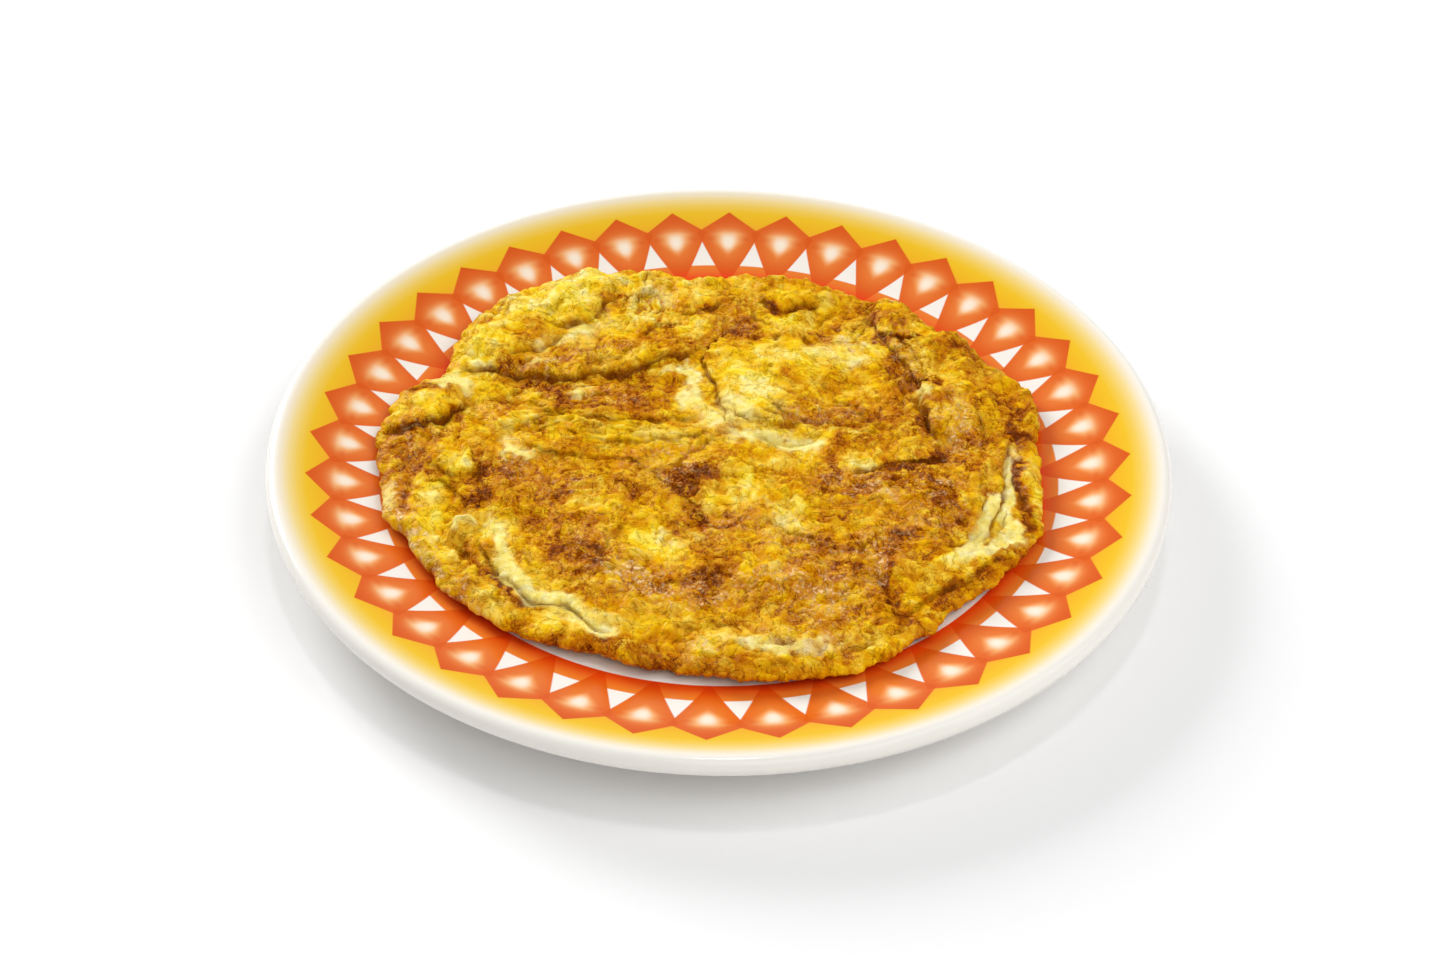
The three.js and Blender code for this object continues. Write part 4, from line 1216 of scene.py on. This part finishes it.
# Calm egg, without blisters: the same, and how calm
calm_patches = {
    "calm": [
        (10, 36, 15, 16, 0, 1.2), (34, 42, 14, 8, 0, 0.7), (28, 28, 14, 8, 0, 0.7),
        (14, 5, 22, 7, 0, 1.0), (-7, 77, 7, 8, 0, 0.6), (24, 77, 10, 5, 0, 0.6),
        (-88, 17, 9, 6, 0, 0.8), (-36, 12, 26, 12, 0, 0.7), (-68, 12, 6, 15, 25, 0.9),
        (-45, 52, 14, 5, 15, 0.7), (-17, -44, 9, 5, 0, 0.4), (-77, -9, 5, 4, 0, 0.5),
        (-62, 66, 26, 12, 40, 0.75), (-50, -76, 20, 5, -28, 0.5), (90, -20, 4, 18, 0, 0.6),
        (-84, -27, 7, 8, 0, 0.5), (-60, -50, 6, 14, 15, 0.6), (80, -30, 8, 18, -15, 0.7),
        (60, -62, 10, 5, 45, 0.5), (86, 28, 6, 14, 30, 0.4), (8, 12, 8, 9, 0, 0.8),
        (-30, -70, 14, 4, 0, 0.3), (-80, 30, 10, 6, 0, 0.9), (60, 22, 3, 5, 0, 0.5),
    ],
}

# Streaky egg: middle, half length, half width, turn in degrees, direction of the streaks, their spacing,
# their length and their height
streak_zones = {
    "left layers": ((-36, 11), 28, 10, 0, 176, 3.0, 18, 1.1),
    "left layers, outer end": ((-60, 12), 9, 12, 20, 128, 3.0, 14, 1.0),
    "band under the far fold": ((-45, 26), 24, 5, -4, 172, 2.8, 12, 0.9),
    "front of the far fold": ((-44, 41), 22, 7, 14, 48, 2.2, 9, 1.3),
    "far end of the fold": ((-24, 69), 11, 13, 0, 80, 2.0, 9, 1.4),
    "left strip": ((-61, -48), 6, 15, 18, 106, 3.0, 16, 0.9),
    "left strip, near end": ((-44, -69), 14, 5, -28, 152, 3.0, 16, 0.8),
    "right strips": ((82, -22), 6, 20, 0, 92, 2.6, 16, 1.0),
    "right strips, near end": ((72, -48), 5, 14, -40, 52, 2.6, 16, 1.0),
    "right crease": ((55, 46), 6, 20, 22, 105, 2.4, 9, 1.6),
    "below the bump": ((34, 12), 24, 6, -3, 172, 3.0, 13, 1.1),
    "valley": ((16, 4), 18, 5, 0, 178, 2.8, 16, 0.8),
    "fan": ((5, 14), 8, 9, 0, 118, 2.6, 12, 1.5),
    "bump": ((22, 36), 20, 13, -10, 130, 5.5, 18, 0.55),
    "left hollow": ((-77, -7), 7, 9, 0, 84, 3.2, 14, 0.9),
    "left rim": ((-88, -38), 20, 6, 118, 118, 3.0, 9, 0.7),
    "near pale egg": ((20, -85), 18, 5, 0, 176, 3.0, 15, 0.8),
    "near left rim": ((-46, -80), 22, 5, -28, 152, 3.4, 13, 0.8),
    "right flap": ((78, 20), 12, 26, 10, 100, 4.4, 14, 0.6),
}


# %% Shape and colour of every corner
def sum_of_patches(patches, x, y):
    """Adds up the ovals of all parts."""
    total = np.zeros(x.shape)
    for ovals in patches.values():
        for at_x, at_y, long, wide, turn, amount in ovals:
            total += amount * oval(x, y, (at_x, at_y), long, wide, turn)
    return total


def lay_folds(x, y, height):
    """Adds the folds to the height; gives the shift sideways and the painted shade deep in the creases."""
    shift_x, shift_y, crease_shade = np.zeros(x.shape), np.zeros(x.shape), np.zeros(x.shape)
    vary = lattice_noise(x, y, 7.0, 21)
    for number, fold in enumerate((*fold_lines.values(), *small_folds.values(), *wrinkles)):
        rise, reach, gap, width, over, path = fold
        near = near_path(path, 3 * reach + 6, x, y)
        side, along, left_x, left_y = beside(smooth_line(path), x[near], y[near])
        steady, change = (1.0, 0.45) if number < len(fold_lines) else (0.8, 0.8)
        strength = strength_at(along) * np.clip(steady + change * vary[near], 0.1, 1.5)
        rises, hang = fold_shape(fold, side, strength)
        height[near] += rises
        shift_x[near] -= hang * left_x
        shift_y[near] -= hang * left_y
        # The crease's depth sets how much dark brown is painted into it: painted shade, over the brown
        # crust seen in the gap
        depth = min(1.0, (0.5 * rise + gap) / 2.6) * strength
        crease_shade[near] = np.maximum(crease_shade[near], depth * np.exp(-((side + 0.35) / 0.95) ** 2))
    for depth, width, path in creases.values():
        near = near_path(path, 4 * width, x, y)
        side, along, _, _ = beside(smooth_line(path), x[near], y[near])
        strength = strength_at(along)
        height[near] -= strength * depth * np.exp(-np.abs(side / width) ** 1.5)
        # Painted shade along the creases that sink in
        shade = (0.3 if depth > 0 else 0) * strength * np.exp(-(side / 0.8) ** 2)
        crease_shade[near] = np.maximum(crease_shade[near], shade)
    return shift_x, shift_y, crease_shade


def bent(values, *steps):
    """Plan x or y, moved by noise of a few sizes: how far, lump size and seed of each."""
    for far, size, seed in steps:
        values = values + far * lattice_noise(plan_x, plan_y, size, seed)
    return values


# Bend the drawn lines a little, so that they wander as real ones do
wander_x = bent(plan_x, (1.3, 9.0, 11), (0.8, 4.0, 12), (0.4, 1.9, 15))
wander_y = bent(plan_y, (1.3, 9.0, 13), (0.8, 4.0, 14), (0.4, 1.9, 16))
top = main_height(wander_x, wander_y)
shift_x, shift_y, crease_shade = lay_folds(wander_x, wander_y, top)

# Bend the patches of colour more, for ragged edges
ragged_x = bent(plan_x, (2.2, 8.0, 31), (2.0, 3.6, 32), (1.2, 1.7, 33))
ragged_y = bent(plan_y, (2.2, 8.0, 34), (2.0, 3.6, 35), (1.2, 1.7, 36))
browning = plain_browning + browning_gain * sum_of_patches(brown_patches, ragged_x, ragged_y)
paleness = sum_of_patches(pale_patches, ragged_x, ragged_y)
paleness = np.clip(paleness * (1 + 0.4 * rough_noise(plan_x, plan_y, 5.0, 51, octaves=3)), 0, 1)
for pale, first_half, last_half, path in pale_strips.values():
    near = near_path(path, 8, wander_x, wander_y)
    side, along, _, _ = beside(smooth_line(path), wander_x[near], wander_y[near])
    uneven = 1 + 0.35 * lattice_noise(plan_x[near], plan_y[near], size=4.0, seed=55)
    half = (first_half + (last_half - first_half) * along) * uneven
    strip = pale * smooth_step(np.minimum(along, 1 - along), 0, 0.2) * np.exp(-(side / half) ** 2)
    paleness[near] = np.maximum(paleness[near], np.minimum(strip, 1))
print("browning", round(float(browning.min()), 2), "to", round(float(browning.max()), 2))


# %% [markdown]
# ## Puffs, blisters and speckles
# Up close the browned egg is a field of small blisters, the yellow egg is puffed and creased, and the
# pale egg is smooth with soft ripples. A bump map would fake this, but its edge would stay smooth and a
# mesh without its material would lose it. So these fields are real height, and bump adds only the finest
# grain.

# %% Puffs and speckles
warp_x = bent(plan_x, (2.0, 8.0, 81), (0.8, 3.0, 83))
warp_y = bent(plan_y, (2.0, 8.0, 82), (0.8, 3.0, 84))
calm = np.clip(sum_of_patches(calm_patches, ragged_x, ragged_y) + 0.5 * paleness, 0, 1)
# Light grains of dry skin, and the places of the painted glints of oil
grains_and_glints = np.clip(sum_of_patches(grain_and_glint_patches, ragged_x, ragged_y), 0, 1.5)
crust = smooth_step(browning, 0.30, 0.70) * (1 - 0.8 * calm)

large_puffs = puffs(warp_x, warp_y, size=10.0, seed=101)
middle_puffs = puffs(warp_x, warp_y, size=5.2, seed=102)
small_puffs = puffs(warp_x, warp_y, size=2.7, seed=103)
net = blisters(warp_x, warp_y, size=1.8, seed=91) - 0.4
lumps = blisters(warp_x, warp_y, size=3.4, seed=92) - 0.45
grain = lattice_noise(plan_x, plan_y, size=1.4, seed=93)

from_edge = outline_at(np.arctan2(plan_y, plan_x)) - np.hypot(plan_x, plan_y)
on_rim = smooth_step(from_edge, 13.0, 7.0)
rim_beads = blisters(warp_x, warp_y, size=6.5, seed=94) - 0.45

streak, streaky = np.zeros(plan_x.shape), np.zeros(plan_x.shape)
for seed, (at, long, wide, turn, direction, spacing, length, height) in enumerate(streak_zones.values()):
    share = oval(ragged_x, ragged_y, at, long, wide, turn)
    coarse = streaks(warp_x, warp_y, direction, spacing, length, 700 + seed)
    fine = streaks(warp_x, warp_y, direction + 8, 0.5 * spacing, 0.6 * length, 730 + seed)
    streak += share * height * (coarse + 0.45 * fine)
    streaky = np.maximum(streaky, share)

# Heights in millimetres
large_puff_rise = 1.25
middle_puff_rise = 1.3
small_puff_rise = 0.85
rim_bead_rise = 0.9
streak_rise = 1.1
lump_rise = 0.7
net_rise = 0.3
grain_rise = 0.14

bumpy = (1 - 0.8 * calm) * (1 - 0.6 * streaky)
top += (1 - 0.5 * calm) * large_puff_rise * large_puffs + bumpy * middle_puff_rise * middle_puffs
top += rim_bead_rise * on_rim * rim_beads
relief = (bumpy * small_puff_rise * small_puffs + streak_rise * streak
          + crust * (lump_rise * lumps + net_rise * net + grain_rise * grain))

# The same fields change the browning: more in the gaps between blisters and puffs, less on their tops, on
# the streaks' crests and on the rim's beads.
# This is partly the crust's own colour and partly painted shade in the gaps and painted light on the tops.
speckle = ((0.12 + 0.06 * crust) * rough_noise(warp_x, warp_y, size=11.0, seed=41, octaves=2)
           + (0.09 + 0.05 * crust) * lattice_noise(warp_x, warp_y, size=4.6, seed=44)
           + (0.09 + 0.05 * crust) * (1 - 0.5 * calm) * lattice_noise(warp_x, warp_y, size=2.4, seed=45)
           + (0.04 + 0.10 * crust) * (1 - 0.5 * calm) * grain)
hollow_shade = -0.24 * middle_puffs - 0.16 * small_puffs
browning += (speckle - 0.3 * on_rim * rim_beads + hollow_shade * np.where(crust > 0.5, 0.3, 1.0) - 0.42 * streak
             - crust * (0.23 * lumps + 0.14 * net))


# %% Raise the corners
def corner_normals(points, faces):
    """Direction of the surface at each corner, from the triangles round it."""
    triangles = np.array(faces)
    a, b, c = (points[triangles[:, k]] for k in range(3))
    normal = np.cross(b - a, c - a)
    total = np.zeros_like(points)
    for k in range(3):
        np.add.at(total, triangles[:, k], normal)
    return total / np.maximum(np.linalg.norm(total, axis=1, keepdims=True), 1e-9)


under = plate_top(np.hypot(plan_x, plan_y)) + rest_gap
curl_up = (0.9 + 0.6 * lattice_noise(plan_x, plan_y, 18.0, 61)) * np.exp(-np.maximum(from_edge, 0) / 5)
bulk_z = under + np.where(lift < 1, curl_up, 0) + lift * (top - under)
bulk_z = np.where(lift > 0, bulk_z, under)
edge_share = smooth_step(from_edge, 2.0, 9.0) * (lift > 0)
points = np.stack([plan_x + edge_share * shift_x, plan_y + edge_share * shift_y, bulk_z], axis=1)
relief = np.where(lift > 0, relief, 0.0)
points += corner_normals(points, faces) * relief[:, None]
points[:, 2] = np.where(lift < 0.999, np.maximum(points[:, 2], under - 0.05), points[:, 2])
print("relief from", round(float(relief.min()), 2), "to", round(float(relief.max()), 2), "mm, top at",
      round(float(points[:, 2].max()), 2), "mm")


# %% [markdown]
# ## The look of fried egg
# Cooked egg is a soft, slightly glowing solid with a thin film of oil. Its colour runs from cream
# through yellow and gold to dark brown, so one ramp over the browning gives all of them in the right
# order. Fine noise in the shader adds the freckles that are smaller than the mesh's triangles.

# %% Egg material
def make_egg():
    """Colour from the maps of browning and paleness with painted shade in the folds and painted glints, a
    little glow, oil and the finest relief.
    """
    tree = Tree("fried_egg")
    place = tree.place()
    browning = tree.attribute("browning")
    paleness = tree.attribute("paleness")
    # Painted shade in the depth of the folds
    crease = tree.attribute("crease")
    # Light grains of dry skin and painted glints of oil
    grains_and_glints = tree.attribute("grains_and_glints")
    crust = tree.attribute("crust")

    # Grainy in some places and smooth in others, islands of skin with crisp edges, and thin brown lines
    # that the bump sinks in, partly browned skin and partly painted shade
    grainy = tree.between(tree.noise(place, 9.0, detail=2), 0.40, 0.62)
    freckles = tree.math("SUBTRACT", tree.noise(place, 0.8, detail=3, roughness=0.8), 0.5)
    amount = tree.math("ADD", tree.math("MULTIPLY", crust, tree.math("ADD", grainy, 0.5)), 0.5)
    skin = tree.between(tree.noise(place, 5.5, detail=3.5, roughness=0.55, distortion=0.5), 0.465, 0.535)
    island_browning = tree.math("MULTIPLY_ADD", crust, 0.11, 0.07)
    islands = tree.math("MULTIPLY", tree.math("SUBTRACT", skin, 0.5), island_browning)
    wandering = tree.noise(place, 6.5, detail=4, roughness=0.6, distortion=0.9)
    off_line = tree.math("ABSOLUTE", tree.math("SUBTRACT", wandering, 0.5))
    lines = tree.between(off_line, 0.016, 0.005)
    browned = tree.math("ADD", browning, tree.math("MULTIPLY", freckles, amount))
    browned = tree.math("ADD", browned, islands)
    # Thin brown lines: partly browned skin, partly painted shade in fine wrinkles
    line_browning_and_shade = tree.math("MULTIPLY_ADD", crust, 0.16, 0.08)
    browned = tree.math("ADD", browned, tree.math("MULTIPLY", lines, line_browning_and_shade))
    # Milky egg and egg with more yolk, from the palest to the most browned
    milky = tree.ramp(browned, [
        (0.0, srgb(252, 235, 154)),
        (0.15, srgb(246, 214, 94)),
        (0.32, srgb(234, 188, 50)),
        (0.50, srgb(214, 150, 20)),
        (0.67, srgb(190, 114, 9)),
        (0.83, srgb(158, 78, 3)),
        (1.0, srgb(108, 44, 2)),
    ])
    vivid = tree.ramp(browned, [
        (0.0, srgb(250, 228, 96)),
        (0.15, srgb(246, 208, 40)),
        (0.32, srgb(236, 184, 12)),
        (0.50, srgb(214, 146, 4)),
        (0.67, srgb(190, 112, 3)),
        (0.83, srgb(156, 76, 2)),
        (1.0, srgb(108, 42, 1)),
    ])
    yolk = tree.between(tree.noise(place, 7.5, detail=4, roughness=0.6, distortion=0.4), 0.40, 0.56)
    crust_colour = tree.mix(yolk, milky, vivid)
    blotches = tree.noise(place, 3.0, detail=3, roughness=0.6)
    cream = tree.ramp(tree.math("MULTIPLY_ADD", tree.math("SUBTRACT", blotches, 0.5), 1.5, 0.5), [
        (0.1, srgb(237, 207, 76)),
        (0.5, srgb(246, 228, 130)),
        (0.9, srgb(251, 241, 188)),
    ])
    # Pale egg lies over the crust's colours, and dark brown is painted in the depth of the folds: painted
    # shade, over the brown crust seen in the gap
    pale_share = tree.between(paleness, 0.12, 0.75)
    colour = tree.mix(pale_share, crust_colour, cream)
    crease_shade_strength = tree.math("MULTIPLY_ADD", pale_share, -0.55, 1.1)
    crease_shade_share = tree.math("MULTIPLY", crease, crease_shade_strength, clamp=True)
    colour = tree.mix(crease_shade_share, colour, srgb(134, 68, 2))
    # Light grains of dry skin in clusters with a tan that is partly painted sheen, and the brightest dots
    # as painted glints of oil, with a gleam of coat on them
    grain_and_glint_share = tree.math("MULTIPLY_ADD", crust, 0.06, grains_and_glints)
    grain_and_sheen_clusters = tree.between(tree.noise(place, 3.6, detail=2), 0.40, 0.58)
    grain_and_sheen_clusters = tree.math("MULTIPLY", grain_and_sheen_clusters, grain_and_glint_share, clamp=True)
    # Tan of dry skin in the clusters, partly painted sheen
    colour = tree.mix(tree.math("MULTIPLY", grain_and_sheen_clusters, 0.42), colour, srgb(224, 162, 96))
    dots = tree.math("MULTIPLY_ADD", grain_and_sheen_clusters, 0.04, tree.noise(place, 1.2, detail=1.5, roughness=0.6))
    glint_dots = tree.math("MULTIPLY", tree.between(dots, 0.555, 0.61), grain_and_sheen_clusters)
    # Painted glints of oil: near-white dots
    colour = tree.mix(tree.math("MULTIPLY", glint_dots, 0.9), colour, srgb(254, 216, 158))
    tree.feed(tree.shader.inputs["Base Color"], colour)

    tree.shader.inputs["Subsurface Weight"].default_value = 0.08
    tree.shader.inputs["Subsurface Radius"].default_value = (1.0, 0.55, 0.18)
    tree.shader.inputs["Subsurface Scale"].default_value = 1.2 * MM
    gloss = tree.noise(place, 5.0, detail=3, roughness=0.6)
    tree.feed(tree.shader.inputs["Roughness"], tree.math("MULTIPLY_ADD", gloss, 0.5, 0.05))
    tree.shader.inputs["IOR"].default_value = 1.42
    tree.shader.inputs["Specular IOR Level"].default_value = 0.05
    tree.shader.inputs["Specular Tint"].default_value = (1.0, 0.7, 0.2, 1.0)
    tree.feed(tree.shader.inputs["Coat Weight"], tree.math("MULTIPLY_ADD", glint_dots, 0.16, 0.01))
    tree.shader.inputs["Coat Roughness"].default_value = 0.14

    fine = tree.noise(place, 0.7, detail=3, roughness=0.6)
    pitted = tree.math("MULTIPLY", fine, tree.math("MULTIPLY_ADD", crust, 1.15, 0.1))
    raised = tree.math("MULTIPLY_ADD", skin, 0.4, tree.math("MULTIPLY_ADD", glint_dots, 0.5, pitted))
    line_depth = tree.math("MULTIPLY", lines, tree.math("MULTIPLY_ADD", pale_share, 0.55, -0.7))
    wrinkled = tree.math("ADD", line_depth, raised)
    tree.feed(tree.shader.inputs["Normal"], tree.bump(wrinkled, 0.5))
    return tree.material


# %% Make the omelette
def add_attribute(piece, name, values):
    """Keeps one number for each corner, which the material can read by its name."""
    layer = piece.data.attributes.new(name, "FLOAT", "POINT")
    layer.data.foreach_set("value", np.asarray(values, dtype=np.float32))


omelette = add_mesh("folded_omelette", points, faces, make_egg())
corner_values = {
    "browning": browning,
    "paleness": paleness,
    # The painted shade in the folds
    "crease": crease_shade,
    # Where light dry skin and painted glints of oil lie
    "grains_and_glints": grains_and_glints,
    "crust": crust,
}
for name, values in corner_values.items():
    add_attribute(omelette, name, values)
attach(omelette, "root")
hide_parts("omelette")
print("omelette spans", [round(float(v), 1) for v in np.ptp(points, axis=0)], "mm")

# %% [markdown]
# ## Floor and light
# The photograph was taken on a bright white sweep, under large soft lamps. Light from behind and from the
# side is usual for food: it shows every fold by its shadow side and puts a gleam on the oil.
# A picture of a studio could light the scene, but four area lamps are easier to move. The strongest stands
# behind on the left, and one on the right and one in front fill the shadows. A small one overhead gives
# the oil its glints, and a pale sky fills the rest.

# %% Floor
def make_floor():
    """A plain pale square, so wide that no view shows its end."""
    tree = Tree("pale_floor")
    tree.shader.inputs["Base Color"].default_value = (0.92, 0.92, 0.92, 1)
    tree.shader.inputs["Roughness"].default_value = 0.9
    half = 6000.0
    corners = [(-half, -half, 0), (half, -half, 0), (half, half, 0), (-half, half, 0)]
    return add_mesh("floor", corners, [(0, 1, 2, 3)], tree.material)


floor = make_floor()


# %% Lamps and sky
def add_lamp(name, azimuth, elevation, distance, width, height, watts):
    """A soft rectangular lamp that faces the plate; azimuth 0 is straight behind it, 90 to its right."""
    data = bpy.data.lights.new(name, "AREA")
    data.shape = "RECTANGLE"
    data.size = width
    data.size_y = height
    data.energy = watts
    lamp = bpy.data.objects.new(name, data)
    turn, rise = math.radians(azimuth), math.radians(elevation)
    lamp.location = distance * Vector((math.sin(turn) * math.cos(rise), math.cos(turn) * math.cos(rise),
                                       math.sin(rise)))
    lamp.rotation_euler = (Vector((0, 0, 0.02)) - lamp.location).to_track_quat("-Z", "Y").to_euler()
    bpy.context.scene.collection.objects.link(lamp)
    return lamp


add_lamp("back_left_softbox", azimuth=-41, elevation=25, distance=3.0, width=1.4, height=1.4, watts=72)
add_lamp("right_softbox", azimuth=100, elevation=50, distance=3.0, width=2.0, height=2.0, watts=32)
add_lamp("front_reflector", azimuth=160, elevation=50, distance=3.0, width=2.0, height=2.0, watts=23)
add_lamp("small_overhead_lamp", azimuth=8, elevation=82, distance=3.0, width=0.3, height=0.3, watts=8)

world = bpy.data.worlds.new("pale_room")
world.use_nodes = True
world.node_tree.nodes["Background"].inputs["Color"].default_value = (1, 1, 1, 1)
world.node_tree.nodes["Background"].inputs["Strength"].default_value = 0.34
bpy.context.scene.world = world
bpy.context.scene.view_settings.view_transform = "Standard"
bpy.context.scene.view_settings.look = "None"
